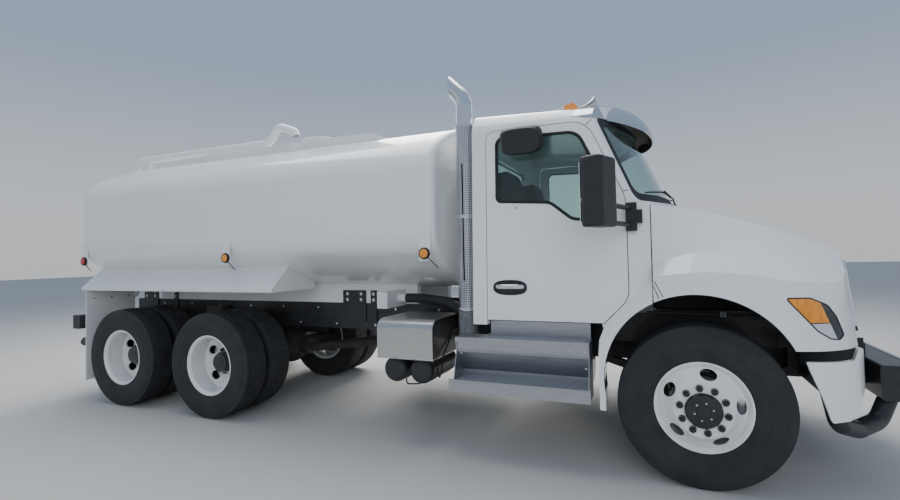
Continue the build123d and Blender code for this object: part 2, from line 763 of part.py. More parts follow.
for x in (can_rear + can_strap_inset, can_front - can_strap_inset - can_strap_width):
    silencer += block(x, x + can_strap_width, can_y, -rail_outside, can_z + 60, rail_bottom + 70)
save("exhaust_stack", stack + silencer)

shield_radius = 79.5
shield_bottom = 1113.0
shield_top = 2680.0
shield_sheet = 2.5
shield_band = 20.0
shield_ring = Circle(shield_radius) - Circle(shield_radius - shield_sheet)
shield = extrude(Pos(stack_x, stack_y, shield_bottom) * shield_ring, shield_top - shield_bottom)
for z in (shield_bottom, (shield_bottom + shield_top) / 2, shield_top - shield_band):
    band = Circle(shield_radius + 2) - Circle(stack_radius + seat_gap)
    shield += extrude(Pos(stack_x, stack_y, z) * band, shield_band)
save("heat_shield", shield)

# Fuel tank on the left

fuel_radius = 300.0
fuel_y = 790.0
fuel_z = 740.0
fuel_front = axle - 1900.0
fuel_rear = axle - 3050.0
fuel = rod((fuel_rear, fuel_y, fuel_z), (fuel_front, fuel_y, fuel_z), fuel_radius)
fuel = fillet(fuel.edges().filter_by(GeomType.CIRCLE), 30)
for x in (fuel_rear + 200, fuel_front - 250):
    fuel += block(x, x + 60, rail_outside, fuel_y, 880, 960)
save("fuel_tank", fuel)


# Cab: its section, its windshield surface and its wall

def cab_half(z):
    """Half width of the cab at height z, at the back of the cab."""
    return cab_half_width - (z - cab_foot) * cab_lean


def cab_prism(inset, x0, x1, foot):
    """The cab's section, moved in by inset, from x0 to x1; the roof falls towards the front."""
    eave = cab_eave - inset
    half_foot = cab_half(foot) - inset
    half_eave = cab_half(eave) - inset
    roof = ThreePointArc((half_eave, eave), (0, cab_roof - inset), (-half_eave, eave))
    floor = Line((-half_foot, foot), (half_foot, foot))
    face = make_face([roof, Line(roof @ 1, floor @ 0), floor, Line(floor @ 1, roof @ 0)])
    face = fillet(face.vertices().sort_by(Axis.Y)[-2:], roof_corner - inset)
    drop = (x0 - cab_back) * roof_fall
    plane = Plane(origin=(x0, 0, -drop), x_dir=(0, 1, 0), z_dir=(1, 0, 0))
    solid = extrude(plane * face, x1 - x0, dir=(1, 0, -roof_fall))
    return solid - block(x0 - 1, x1 + 1, -2000, 2000, foot - 400, foot)


def arc_plan(front_x, radius):
    """Plan of everything behind an arc that has its middle at front_x."""
    reach_y = 1300.0
    reach_x = front_x - radius + sqrt(radius ** 2 - reach_y ** 2)
    far_x = cab_back - 1500
    arc = ThreePointArc((reach_x, -reach_y), (front_x, 0), (reach_x, reach_y))
    back = Polyline((reach_x, reach_y), (far_x, reach_y), (far_x, -reach_y), (reach_x, -reach_y))
    return make_face([arc, *back.edges()])


def behind_screen(shift, drop=0.0):
    """Everything behind the raked windshield surface, from drop below the top of the cowl."""
    rise = cab_roof - cowl_top + 60 + drop
    plane = Plane(origin=(screen_rake * drop, 0, cowl_top - drop))
    return extrude(plane * arc_plan(screen_base + shift, screen_arc), rise * sqrt(1 + screen_rake ** 2),
                   dir=(-screen_rake, 0, 1))


def behind_cowl(shift, z0, z1):
    side_y = 1000.0
    bulge = cowl_arc - sqrt(cowl_arc ** 2 - side_y ** 2)
    return plan_prism(arc_plan(cab_front + bulge + shift, cowl_arc), z0, z1)


def cab_body(inset, x0, firewall_x, foot, shift):
    """Cab volume: lower box, cowl nose and raked top."""
    prism = cab_prism(inset, x0, cab_front + 600, foot)
    lower = block(x0 - 10, firewall_x, -2000, 2000, foot - 10, cowl_top - inset)
    nose = behind_cowl(shift, cowl_foot + inset, cowl_top - inset)
    return prism & (lower + nose + behind_screen(shift, inset))


door_back = axle - 1500.0
door_foot_front = axle - 615.0
door_seams = [
    (door_back, cab_foot, 0), (door_back, 2570, 70), (axle - 715, 2570, 190),
    (axle - 442, 1965, 400), (axle - 442, 1240, 150), (door_foot_front, cab_foot, 0),
]
window_edges = [
    (axle - 1415, 1995, 40), (axle - 1415, 2512, 60), (axle - 775, 2492, 120), (axle - 560, 2030, 100),
    (axle - 560, 1825, 60), (axle - 820, 1825, 120), (axle - 990, 1965, 120),
]
screen_edges = [(-1005, 1952, 60), (-965, 2600, 60), (965, 2600, 60), (1005, 1952, 60)]
back_window = [(-600, 2000, 60), (-600, 2450, 60), (600, 2450, 60), (600, 2000, 60)]

door_face = outline(door_seams)
aperture_face = offset(door_face, amount=panel_gap)
aperture_face += make_face(Polyline(
    (door_back - panel_gap, cab_foot - 80), (door_back - panel_gap, cab_foot + 40),
    (door_foot_front - 25, cab_foot + 40), (door_foot_front + panel_gap, cab_foot - 80), close=True))
window_face = outline(window_edges)
glass_face = offset(window_face, amount=-seat_gap)

outer_cab = cab_body(0, cab_back, cab_front, cab_foot - 40, 0)
inner_floor = cab_floor_bottom + cab_floor
inner_cab = cab_body(cab_wall, cab_back + cab_wall, cab_front - cab_wall, inner_floor, -cab_wall)
under_floor = block(cab_back - 50, cab_front + 50, -1000, 1000, cab_foot - 60, cab_floor_bottom)

arch_circle = Pos(arch_x, arch_z) * Circle(arch_radius)
house_circle = offset(arch_circle, amount=house_wall)
for side in (1, -1):
    inner_cab -= side_prism(house_circle, side * 1400, side * (house_inside - house_wall))
shell = outer_cab - inner_cab - under_floor
for side in (1, -1):
    shell -= side_prism(arch_circle, side * 1400, side * house_inside)
shell -= side_prism(aperture_face, 1400, 700)
shell -= side_prism(aperture_face, -700, -1400)
screen_hole = cross_prism(outline(screen_edges), axle - 800, axle + 300)
shell -= screen_hole
shell -= cross_prism(outline(back_window), cab_back - 50, cab_back + cab_wall + 20)
save("cab_shell", shell)

door_wall = cab_prism(0, cab_back, cab_front, cab_foot)
door_wall -= cab_prism(cab_wall, cab_back - 10, cab_front + 10, cab_foot - 60)
right_slot = side_prism(door_face, -700, -1400)
door = (door_wall & right_slot) - side_prism(window_face, -700, -1400)
pane_wall = cab_prism(glass_depth, cab_back, cab_front, cab_foot)
pane_wall -= cab_prism(glass_depth + glass_thickness, cab_back - 10, cab_front + 10, cab_foot - 60)
door_pane = pane_wall & side_prism(glass_face, -700, -1400)
save("door_right", door)
save("door_left", door.mirror(Plane.XZ))
save("door_glass_right", door_pane)
save("door_glass_left", door_pane.mirror(Plane.XZ))

windshield = behind_screen(-glass_depth) - behind_screen(-glass_depth - glass_thickness)
windshield &= cross_prism(offset(outline(screen_edges), amount=-seat_gap), axle - 800, axle + 300)
rear_pane = cross_prism(offset(outline(back_window), amount=-seat_gap), cab_back + glass_depth,
                        cab_back + glass_depth + glass_thickness)
save("cab_glass", windshield + rear_pane)

# Quarter fenders: the strip of wheel arch that stays on the cab

quarter_foot = 475.0
quarter_back = axle - 645.0
quarter_lip = 40.0
quarter_seam = [(cab_front, 1395), (axle - 433, 1232), (axle - 606, 1052)]
quarter_face = make_face(Polyline(
    *quarter_seam, (quarter_back, 950), (quarter_back, quarter_foot),
    (quarter_back + quarter_lip, quarter_foot), (quarter_back + quarter_lip, arch_z), (cab_front, arch_z),
    close=True))
quarter_face -= arch_circle
quarter_inside = cab_half_width - 45
quarter = side_prism(quarter_face, -quarter_inside, -fender_half_width)
seam_high = Vector(quarter_seam[0][0], 0, quarter_seam[0][1])
seam_low = Vector(quarter_seam[2][0], 0, quarter_seam[2][1])
seam_foot = (seam_low.X, -cab_half_width - 5, seam_low.Z)
seam_plane = Plane(origin=seam_foot, x_dir=(0, -1, 0), z_dir=seam_high - seam_low)
slope_face = make_face(Polyline(
    (0, 0), (fender_half_width - cab_half_width, 100), (200, 100), (200, -300), (0, -300), close=True))
slope_cut = extrude(seam_plane * slope_face, 700, both=True)
quarter -= slope_cut
quarter -= outer_cab
save("quarter_fenders", both_sides(quarter))

# Hood sections from back to front, as half widths and heights

hood_sections = [
    # x,           crown, crease y, crease z, shoulder y, shoulder z, fender y, fender z
    (hood_rear,        1968, 1012, 1905, 1066, 1480, 1180, 1395),
    (axle + 60,        1925,  930, 1850, 1085, 1560, 1212, 1430),
    (axle + 440,       1832,  800, 1738, 1060, 1510, 1215, 1385),
    (axle + 800,       1678,  690, 1590,  985, 1375, 1180, 1270),
    (axle + 1150,      1468,  590, 1390,  890, 1200, 1120, 1110),
]
hood_bottom = 945.0
section_foot = 700.0


def hood_section(row, inset):
    x, crown, crease_y, crease_z, shoulder_y, shoulder_z, fender_y, fender_z = row
    half = [
        (fender_y - inset, section_foot), (fender_y - inset, fender_z - inset * 0.4),
        (shoulder_y - inset * 0.5, shoulder_z - inset), (crease_y - inset * 0.7, crease_z - inset),
    ]
    mirrored = [(-y, z) for y, z in reversed(half)]
    crown_arc = ThreePointArc(half[-1], (0, crown - inset), mirrored[0])
    sides = Polyline(*half)
    others = Polyline(*mirrored)
    foot = Line(mirrored[-1], half[0])
    face = make_face([*sides.edges(), crown_arc, *others.edges(), foot])
    return Plane(origin=(x, 0, 0), x_dir=(0, 1, 0), z_dir=(1, 0, 0)) * face


def hood_body(inset):
    return loft([hood_section(row, inset) for row in hood_sections], ruled=False)


nose_rake = 0.11                # how far the nose leans back, for each unit of height
nose_foot = 950.0               # height at which the plan of the nose is drawn
nose_side = (axle + 400, fender_half_width + 5)
nose_plan_arcs = [
    ThreePointArc(nose_side, (axle + 780, 1080), (axle + 950, 720)),
    ThreePointArc((axle + 950, 720), (axle + 1062, 370), (axle + 1100, 0)),
]


def nose_plan(inset):
    """Plan of the nose, moved in by inset."""
    arcs = []
    for arc in nose_plan_arcs:
        points = [arc @ share for share in (0, 0.5, 1)]
        for side in (-1, 1):
            moved = [(p.X - inset, side * (p.Y - (inset if p.Y > 1 else 0))) for p in points]
            arcs.append(ThreePointArc(*moved))
    start = arcs[1] @ 0
    far_x = axle - 1500
    back = Polyline((start.X, start.Y), (far_x, start.Y), (far_x, -start.Y), (start.X, -start.Y))
    return make_face([*arcs, *back.edges()])


def behind_nose(inset):
    """Everything behind the raked nose."""
    low = 500.0
    rise = 1900.0
    plane = Plane(origin=((nose_foot - low) * nose_rake, 0, low))
    return extrude(plane * nose_plan(inset), rise * sqrt(1 + nose_rake ** 2), dir=(-nose_rake, 0, 1))


hood_outer = hood_body(0) & behind_nose(0)
hood_inner = hood_body(hood_wall) & behind_nose(hood_wall)
hood = hood_outer - hood_inner
hood -= block(axle - 1500, axle + 1300, -1500, 1500, 400, hood_bottom)
hood -= side_prism(arch_circle, 1500, -1500)
hood -= behind_cowl(panel_gap + 2, 1000, 2300)

# Grille: a surround with cross bars, in an opening of the nose

grille_edges = [(-545, 985, 60), (-590, 1480, 60), (590, 1480, 60), (545, 985, 60)]
grille_border = 46.0
grille_bar = 16.0
grille_rows = 9
grille_proud = 8.0
grille_depth = 24.0
grille_face = outline(grille_edges)
hood -= cross_prism(grille_face, axle + 800, axle + 1300)
grille = behind_nose(-grille_proud) - behind_nose(grille_depth)
grille &= cross_prism(offset(grille_face, amount=-seat_gap), axle + 800, axle + 1300)
grille_low = grille_edges[0][1] + grille_border
grille_high = grille_edges[1][1] - grille_border
row_pitch = (grille_high - grille_low + grille_bar) / grille_rows
grille_inside = offset(grille_face, amount=-grille_border)
slots = Sketch()
for row in range(grille_rows):
    low = grille_low + row * row_pitch
    slots += Pos(0, low + (row_pitch - grille_bar) / 2) * Rectangle(1300, row_pitch - grille_bar)
slots = (slots & grille_inside) - Rectangle(30, 4000)
grille -= cross_prism(slots, axle + 800, axle + 1300)
save("grille", grille)

# Headlights, set in the corners of the nose

lamp_edges = [
    (axle + 471, 1268, 10), (axle + 608, 1268, 60), (axle + 706, 1222, 60), (axle + 757, 1150, 60),
    (axle + 800, 1035, 20), (axle + 770, 1008, 20), (axle + 715, 1016, 40), (axle + 640, 1066, 60),
]
lamp_face = outline(lamp_edges)
hood -= side_prism(lamp_face, -850, -1500)
hood -= side_prism(lamp_face, 1500, 850)
lamp_seat = side_prism(offset(lamp_face, amount=-seat_gap), -850, -1500)
headlight = (hood_outer - hood_inner) & lamp_seat
save("headlights", both_sides(headlight))

# Hood ears on the pivot pins

ear_y = 290.0
ear_half = 8.0
pivot_pin_radius = 10.0
for side in (-1, 1):
    hood += block(hood_pivot_x - 20, hood_pivot_x + 18, side * ear_y - ear_half, side * ear_y + ear_half,
                  hood_pivot_z - 20, hood_bottom + 25)
pivot_bore = pivot_pin_radius + pin_clearance
hood -= rod((hood_pivot_x, -500, hood_pivot_z), (hood_pivot_x, 500, hood_pivot_z), pivot_bore)
save("hood", hood)

# Front guard: beam, arms to the rails and the bumper ends, loop tubes and hood pivot lugs

guard_front = axle + front_reach
guard_back = axle + 1070.0
guard_top = 800.0
guard_bottom = 570.0
guard_half = 740.0
arm_x = axle + 690.0
arm_z = 680.0
arm_reach = 1090.0
arm_width = 70.0
lug_depth = 22.0                # lug of the bumper end on the arm
loop_radius = 55.0
end_half = 1190.0
guard = block(guard_back, guard_front, -guard_half, guard_half, guard_bottom, guard_top)
guard = fillet(guard.edges().filter_by(Axis.Y), 22)
for side in (-1, 1):
    horn_outside = side * (rail_outside + 40)
    guard += block(axle + 560, guard_back + 10, side * rail_outside, side * (rail_outside + 14), 840, 930)
    guard += block(rail_front + 20, guard_back + 10, side * (rail_outside + 2), horn_outside, 620, 900)
    guard += block(arm_x, arm_x + arm_width, side * (rail_outside + 12), side * arm_reach,
                   arm_z - arm_width / 2, arm_z + arm_width / 2)
    horn_inside = side * (rail_outside + 12)
    guard += block(arm_x, axle + 830, horn_inside, horn_outside, arm_z - arm_width / 2, arm_z + 200)
    loop = [(arm_x + 35, 1010, arm_z), (arm_x + 75, 1010, 470), (axle + 900, 860, 405),
            (axle + 1060, 700, 430), (axle + 1170, 620, 640)]
    guard += tube([(x, side * y, z) for x, y, z in loop], [70, 90, 110], loop_radius)
    for y in (ear_y - ear_half - 18, ear_y + ear_half + 6):
        guard += block(hood_pivot_x - 16, hood_pivot_x + 16, side * y, side * (y + 12),
                       guard_top - 120, hood_pivot_z + 16)
    guard += block(hood_pivot_x - 16, guard_back + 30, side * (ear_y - 30), side * (ear_y + 30),
                   guard_top - 60, guard_top - 8)
    guard += rod((hood_pivot_x, side * (ear_y - 26), hood_pivot_z),
                 (hood_pivot_x, side * (ear_y + 26), hood_pivot_z), pivot_pin_radius)
save("front_guard", guard)

end_arc = ThreePointArc((axle + 470, end_half), (axle + 800, 1100), (axle + 955, 840))
end_inner = ThreePointArc((axle + 925, 840), (axle + 778, 1080), (axle + 470, end_half - 30))
end_plan = make_face([end_arc, Line(end_arc @ 1, end_inner @ 0), end_inner, Line(end_inner @ 1, end_arc @ 0)])
end_edges = [
    (axle + 569, 880, 8), (axle + 845, 880, 20), (axle + 885, 955, 15), (axle + 930, 932, 20),
    (axle + 960, 840, 40), (axle + 932, 690, 90), (axle + 815, 522, 50), (axle + 694, 516, 20),
    (axle + 640, 690, 200),
]
bumper_end = plan_prism(end_plan, 400, 1000) & side_prism(outline(end_edges), 1400, 600)
bumper_end += block(arm_x, arm_x + arm_width, arm_reach, arm_reach + lug_depth,
                    arm_z - arm_width / 2, arm_z + arm_width / 2)
save("bumper_ends", both_sides(bumper_end))

# Steps below both doors

step_front = axle - 712.0
step_rear = axle - 1738.0
step_outside = 1200.0
step_inside = 1000.0
upper_step_z = 930.0
lower_step_z = 610.0
lower_step_outside = 1250.0
lower_step_inside = 1040.0
step_sheet = 6.0
step_nose = 34.0
lower_step_nose = 95.0
riser_ridge = 820.0
step_hanger_y = 885.0
riser_top = step_outside - 22
steps = block(step_rear, step_front, step_inside, step_outside, upper_step_z - step_sheet, upper_step_z)
steps += block(step_rear, step_front, step_outside - step_sheet, step_outside,
               upper_step_z - step_nose, upper_step_z)
lower_step_foot = lower_step_z - step_sheet
steps += block(step_rear, step_front, step_inside, lower_step_outside, lower_step_foot, lower_step_z)
steps += block(step_rear - 40, step_front + 10, lower_step_outside - step_sheet, lower_step_outside,
               lower_step_z - lower_step_nose, lower_step_z)
riser_face = make_face(Polyline(
    (riser_top, upper_step_z - 2), (riser_top - 8, riser_ridge), (lower_step_inside, lower_step_z + 40),
    (lower_step_inside, lower_step_z - 2), (lower_step_inside - step_sheet, lower_step_z - 2),
    (lower_step_inside - step_sheet, lower_step_z + 40), (riser_top - 8 - step_sheet, riser_ridge),
    (riser_top - step_sheet, upper_step_z - 2), close=True))
steps += cross_prism(riser_face, step_rear, step_front)
cheek_face = make_face(Polyline(
    (step_inside, upper_step_z - 2), (step_outside - 4, upper_step_z - 2), (riser_top, riser_ridge),
    (lower_step_outside - 4, lower_step_z), (lower_step_outside - 4, lower_step_z - lower_step_nose),
    (step_inside, lower_step_z - lower_step_nose), close=True))
for x in (step_rear, step_front - step_sheet):
    steps += cross_prism(cheek_face, x, x + step_sheet)
kick_top = 1045.0
hanger_width = 50.0
kick_foot = upper_step_z - step_sheet
steps += block(door_back, axle - 720, step_inside, step_inside + step_sheet, kick_foot, kick_top)
for x in (step_rear + 160, step_front - 200):
    far = x + hanger_width
    steps += block(x, far, rail_outside, riser_top - 4, 860, 910)
    steps += block(x, far, step_hanger_y, lower_step_inside, lower_step_z - 60, lower_step_z - 2)
    steps += block(x, far, step_hanger_y, step_hanger_y + 45, lower_step_z - 60, 900)
stack_hole = Pos(stack_x, stack_y, 900) * Cylinder(stack_radius + 12, 200)
right_steps = steps.mirror(Plane.XZ) - stack_hole
save("cab_steps", steps + right_steps)

# Mirrors on brackets at the cowl

mirror_turn = 22.0
mirror_x = axle - 575.0
mirror_y = -1560.0
mirror_low = 1735.0
mirror_high = 2182.0
mirror_width = 250.0
mirror_depth = 150.0
mirror_arm_radius = 17.0
mirror_arm_z = (1765.0, 1882.0)
mirror_foot_x = axle - 406.0
housing = Box(mirror_depth, mirror_width, mirror_high - mirror_low)
housing = fillet(housing.edges().filter_by(Axis.Z), 50)
housing = fillet(housing.edges().group_by(Axis.Z)[-1] + housing.edges().group_by(Axis.Z)[0], 22)
mirror_right = Pos(mirror_x, mirror_y, (mirror_low + mirror_high) / 2) * Rot(0, 0, -mirror_turn) * housing
for z in mirror_arm_z:
    arm_foot = (mirror_foot_x, -cab_half_width, z)
    mirror_right += rod(arm_foot, (mirror_x + 40, mirror_y + 40, z), mirror_arm_radius)
mirror_right += block(mirror_foot_x - 37, mirror_foot_x + 37, -cab_half_width - 36, -cab_half_width + 60,
                      1722, 1923)
mirror_right += block(mirror_foot_x + 30, mirror_foot_x + 73, -cab_half_width - 26, -cab_half_width + 60,
                      1778, 1871)
mirror_right -= cab_prism(-seat_gap, cab_back, cab_front, cab_foot)
mirror_right = mirror_right.solids().sort_by(Axis.Y)[0]
save("mirrors", both_sides(Part() + mirror_right))

# Sun visor over the windshield

visor_sheet = 4.0
visor_turn = 43.0
visor_tilt = 25.0
visor_radius = 1500.0           # front edge to the axis that the sheet is rolled about
visor_back_x = axle - 740.0
visor_front_x = axle - 245.0
visor_back_z = 2838.0
visor_front_z = 2600.0
visor_edge = (axle - 262.0, 2480.0)
visor_wing_inside = 860.0       # the wings wrap round the cab's shoulders outside this
visor_wing_front = axle - 480.0
visor_back = [(axle - 822, 2632), (axle - 792, 2672), (axle - 760, 2705), (axle - 760, 3000)]
visor_notch = (axle - 800, axle - 665, -517, -383)      # leaves room for the horn's bell
visor_foot = [(axle - 822, 2632), (axle - 739, 2603), (axle - 662, 2590), (axle - 600, 2598),
              (axle - 230, 2556)]


def visor_line(inset):
    arc = ThreePointArc((visor_back_x, visor_back_z - inset),
                        (visor_front_x - 135, visor_back_z - 50 - inset),
                        (visor_front_x - inset, visor_front_z))
    return arc, Line(arc @ 1, (visor_edge[0] - inset, visor_edge[1]))


outer_arc, outer_line = visor_line(0)
under_arc, under_line = visor_line(visor_sheet)
visor_face = make_face([outer_arc, outer_line, Line(outer_line @ 1, under_line @ 1), under_line, under_arc,
                        Line(under_arc @ 0, outer_arc @ 0)])
visor_axis = Axis((visor_front_x - visor_radius, 0, visor_front_z),
                  (-sin(radians(visor_tilt)), 0, cos(radians(visor_tilt))))
visor_plane = Plane(origin=(0, 0, 0), x_dir=(1, 0, 0), z_dir=(0, -1, 0))
visor = both_sides(revolve(visor_plane * visor_face, visor_axis, visor_turn))
under_visor = cab_body(-seat_gap, cab_back - 10, cab_front, cab_foot, seat_gap)
wing = cab_body(-visor_sheet, cab_back - 10, cab_front, cab_foot, visor_sheet)
wing &= block(axle - 900, visor_wing_front, visor_wing_inside, 1300, 2500, 2900)
visor += both_sides(wing)
visor -= under_visor
below_visor = make_face(Polyline(*visor_foot, (axle - 230, 2200), (axle - 822, 2200), close=True))
behind_visor = make_face(Polyline(*visor_back, (axle - 1500, 3000), (axle - 1500, 2200), (axle - 822, 2200),
                                  close=True))
visor -= side_prism(below_visor, 1500, -1500)
visor -= side_prism(behind_visor, 1500, -1500)
visor -= block(*visor_notch, 2700, 3000)
save("sun_visor", visor)


def roof_height(x, y):
    """Top of the roof."""
    half_eave = cab_half(cab_eave)
    arc = ((cab_roof - cab_eave) ** 2 + half_eave ** 2) / (2 * (cab_roof - cab_eave))
    return cab_roof - (arc - sqrt(arc * arc - y * y)) - (x - cab_back) * roof_fall


# Air horn on the roof

horn_y = -450.0
horn_throat = (axle - 832.0, 2828.0)    # x and z where the flare starts
horn_rise = 14.0                # degrees that the trumpet points up
horn_length = 146.0
horn_bell_radius = 55.0
horn_pipe_radius = 12.0
horn_pipe_length = 70.0
horn_wall = 3.0
horn_foot_radius = 24.0
flare_out = ThreePointArc((0, horn_pipe_radius), (96, 25), (horn_length, horn_bell_radius))
flare_in = ThreePointArc((horn_length, horn_bell_radius - horn_wall), (97, 22), (12, 7))
flare_face = make_face([
    flare_out, Line(flare_out @ 1, flare_in @ 0), flare_in, Line(flare_in @ 1, (12, 0)),
    Line((12, 0), (0, 0)), Line((0, 0), flare_out @ 0)])
horn = revolve(flare_face, Axis.X)
horn += Pos(-horn_pipe_length / 2, 0, 0) * Rot(0, 90, 0) * Cylinder(horn_pipe_radius, horn_pipe_length)
horn = Pos(horn_throat[0], horn_y, horn_throat[1]) * Rot(0, -horn_rise, 0) * horn
horn_foot_x = horn_throat[0] - horn_pipe_length + 10
horn += rod((horn_foot_x, horn_y, roof_height(horn_foot_x, horn_y) - 20),
            (horn_foot_x, horn_y, horn_throat[1] + 2), horn_foot_radius)
horn -= cab_prism(-seat_gap, cab_back, cab_front, cab_foot)
save("air_horn", horn)

# Marker lamps: five on the roof and one on each tank bracket

roof_lamp_x = axle - 813.0       # front of the roof lamps
roof_lamp_length = 257.0
roof_lamp_height = 60.0
roof_lamp_front = 16.0          # height of the front face
roof_lamp_peak = -32.0          # from the front to the highest point
roof_lamp_half = 42.0
roof_lamp_y = (-620.0, -250.0, 0.0, 250.0, 620.0)
lamps = Part()
lamp_top = ThreePointArc((-roof_lamp_length, 0), (-0.58 * roof_lamp_length, 0.60 * roof_lamp_height),
                         (roof_lamp_peak, roof_lamp_height))
lamp_rest = Polyline((roof_lamp_peak, roof_lamp_height), (0, roof_lamp_front), (0, -40),
                     (-roof_lamp_length, -40), (-roof_lamp_length, 0))
lamp_side = make_face([lamp_top, *lamp_rest.edges()])
roof_lamp = side_prism(lamp_side, roof_lamp_half, -roof_lamp_half)
for y in roof_lamp_y:
    lamps += Pos(roof_lamp_x, y, roof_height(roof_lamp_x, y)) * roof_lamp
lamps -= cab_prism(-seat_gap, cab_back, cab_front, cab_foot)
for distance in side_lamp_distances:
    for side in (-1, 1):
        lamps += rod((axle + distance, side * plate_face, side_lamp_z),
                     (axle + distance, side * (plate_face + side_lamp_depth), side_lamp_z), side_lamp_radius)
save("marker_lamps", lamps)

# Tail lamps: three on each end of the rear bumper and one on each rear tank bracket

tail_radius = 56.0
tail_y = (700.0, 860.0, 1020.0)
tail_z = (bumper_bottom + bumper_top) / 2
tail_lamps = Part()
for side in (-1, 1):
    tail_lamps += rod((axle + rear_lamp_distance, side * plate_face, side_lamp_z),
                      (axle + rear_lamp_distance, side * (plate_face + side_lamp_depth), side_lamp_z),
                      side_lamp_radius)
    for y in tail_y:
        tail_lamps += rod((bumper_back, side * y, tail_z), (axle - rear_reach, side * y, tail_z), tail_radius)
save("tail_lamps", tail_lamps)

# Seats, dashboard and steering wheel

floor_z = cab_floor_bottom + cab_floor
seat_x = axle - 1120.0
seat_y = 470.0
seat_half = 250.0
seat_back_height = 820.0
seat_lean = 8.0
seat_corner = 50.0
seats = Part()
for side in (-1, 1):
    y = side * seat_y
    cushion = block(seat_x - 260, seat_x + 270, y - seat_half, y + seat_half, floor_z + 260, floor_z + 400)
    back = block(-60, 60, -seat_half + 10, seat_half - 10, 0, seat_back_height)
    seat = block(seat_x - 200, seat_x + 200, y - 180, y + 180, floor_z, floor_z + 260)
    seat += fillet(cushion.edges(), seat_corner)
    seat += Pos(seat_x - 250, y, floor_z + 330) * Rot(0, -seat_lean, 0) * fillet(back.edges(), seat_corner)
    seats += seat

dash_front = cab_front - cab_wall
dash_back = axle - 620.0
dash_face = outline([
    (dash_front, 1500, 0), (dash_front, 1850, 0), (dash_back + 60, 1850, 60), (dash_back, 1780, 60),
    (dash_back + 40, 1500, 60),
])
dash_half = 960.0
dash = side_prism(dash_face, dash_half, -dash_half)
column_start = Vector(dash_back + 60, seat_y, 1700)
column_end = Vector(axle - 830, seat_y, 1830)
column_run = (column_end - column_start).normalized()
dash += rod(column_start, column_end - column_run * 20, 28)
save("cab_interior", seats + dash)

wheel_radius = 215.0
wheel_rim = 16.0
wheel_plane = Plane(origin=column_end, z_dir=column_run)
steering_wheel = wheel_plane * Torus(wheel_radius, wheel_rim)
for angle in (90, 210, 330):
    spoke = Pos(wheel_radius / 2 - 2, 0, 0) * Box(wheel_radius - 5, 34, 12)
    steering_wheel += wheel_plane * Rot(0, 0, angle) * spoke
steering_wheel += wheel_plane * Cylinder(60, 38)
save("steering_wheel", steering_wheel)
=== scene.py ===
from math import cos, pi, radians, sin, sqrt

import bmesh
import bpy
from mathutils import Matrix, Vector
from mathutils.bvhtree import BVHTree


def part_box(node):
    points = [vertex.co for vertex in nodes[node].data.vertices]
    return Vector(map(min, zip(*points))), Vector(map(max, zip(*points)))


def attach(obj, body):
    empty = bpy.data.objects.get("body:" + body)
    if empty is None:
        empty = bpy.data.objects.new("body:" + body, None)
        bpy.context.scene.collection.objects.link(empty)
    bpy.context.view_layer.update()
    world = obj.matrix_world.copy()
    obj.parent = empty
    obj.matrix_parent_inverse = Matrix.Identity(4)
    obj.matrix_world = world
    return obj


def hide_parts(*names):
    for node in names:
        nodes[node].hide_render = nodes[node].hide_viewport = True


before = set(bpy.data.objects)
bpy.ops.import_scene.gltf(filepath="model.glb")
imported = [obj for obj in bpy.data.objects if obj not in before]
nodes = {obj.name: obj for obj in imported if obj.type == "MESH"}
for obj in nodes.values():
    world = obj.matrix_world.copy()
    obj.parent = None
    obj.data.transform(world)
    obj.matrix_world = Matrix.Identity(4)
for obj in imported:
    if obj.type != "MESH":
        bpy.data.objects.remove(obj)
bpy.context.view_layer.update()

# Metres, +X forward, +Y left, +Z up. Places come from the frame's own boxes.


def middle(node):
    low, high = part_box(node)
    return (low + high) / 2


def link(name, data):
    """New object in the scene."""
    thing = bpy.data.objects.new(name, data)
    bpy.context.scene.collection.objects.link(thing)
    return thing


def finish(node, material):
    """Gives a CAD piece one material."""
    nodes[node].data.materials.clear()
    nodes[node].data.materials.append(material)


SIDES = {"left": 1, "right": -1}
AXLE = middle("front_tyre_left").x
WHEELS = {f"front_{side}": (f"front_tyre_{side}", f"front_rim_{side}") for side in SIDES}
for pair in ("mid", "rear"):
    WHEELS.update({f"{pair}_{side}": (f"{pair}_tyres_{side}", f"{pair}_rims_{side}") for side in SIDES})
FRONT_TYRE_RADIUS = middle("front_tyre_left").z
REAR_TYRE_RADIUS = middle("mid_tyres_left").z
TWIN_SPACING = 0.336
FRONT_MOUNT = 1.203             # |y| of the front wheel's mounting face
TWIN_MOUNT = 0.922
DISC = 0.011
NUT_CIRCLE = 0.1429
NUT_COUNT = 10
NUT_TURN = radians(-8)

OUTSIDE = 3.0                   # |y| beyond the whole truck

CAB_HALF = 1.080
CAB_FOOT = 1.060
CAB_LEAN = 0.0395
CAB_BACK = AXLE - 1.622
SCREEN_BASE = AXLE - 0.085
SCREEN_RAKE = 0.45
SCREEN_ARC = 1.95
COWL_TOP = 1.930
GLASS_DEPTH = 0.020
ARCH = (AXLE - 0.020, 0.690)
ARCH_RADIUS = 0.590
ARCH_EDGE = ARCH_RADIUS + 0.0035
SHIELD_TOP = 2.66


def cab_side(z):
    """Half width of the cab at height z."""
    return CAB_HALF - (z - CAB_FOOT) * CAB_LEAN


def screen_point(y, z, depth=0.0):
    """Point on the windshield surface, depth behind the outer skin."""
    front = SCREEN_BASE - SCREEN_ARC + sqrt(SCREEN_ARC ** 2 - y * y) - depth
    return Vector((front - (z - COWL_TOP) * SCREEN_RAKE, y, z))


# Shapes are gathered as plain vertices and faces

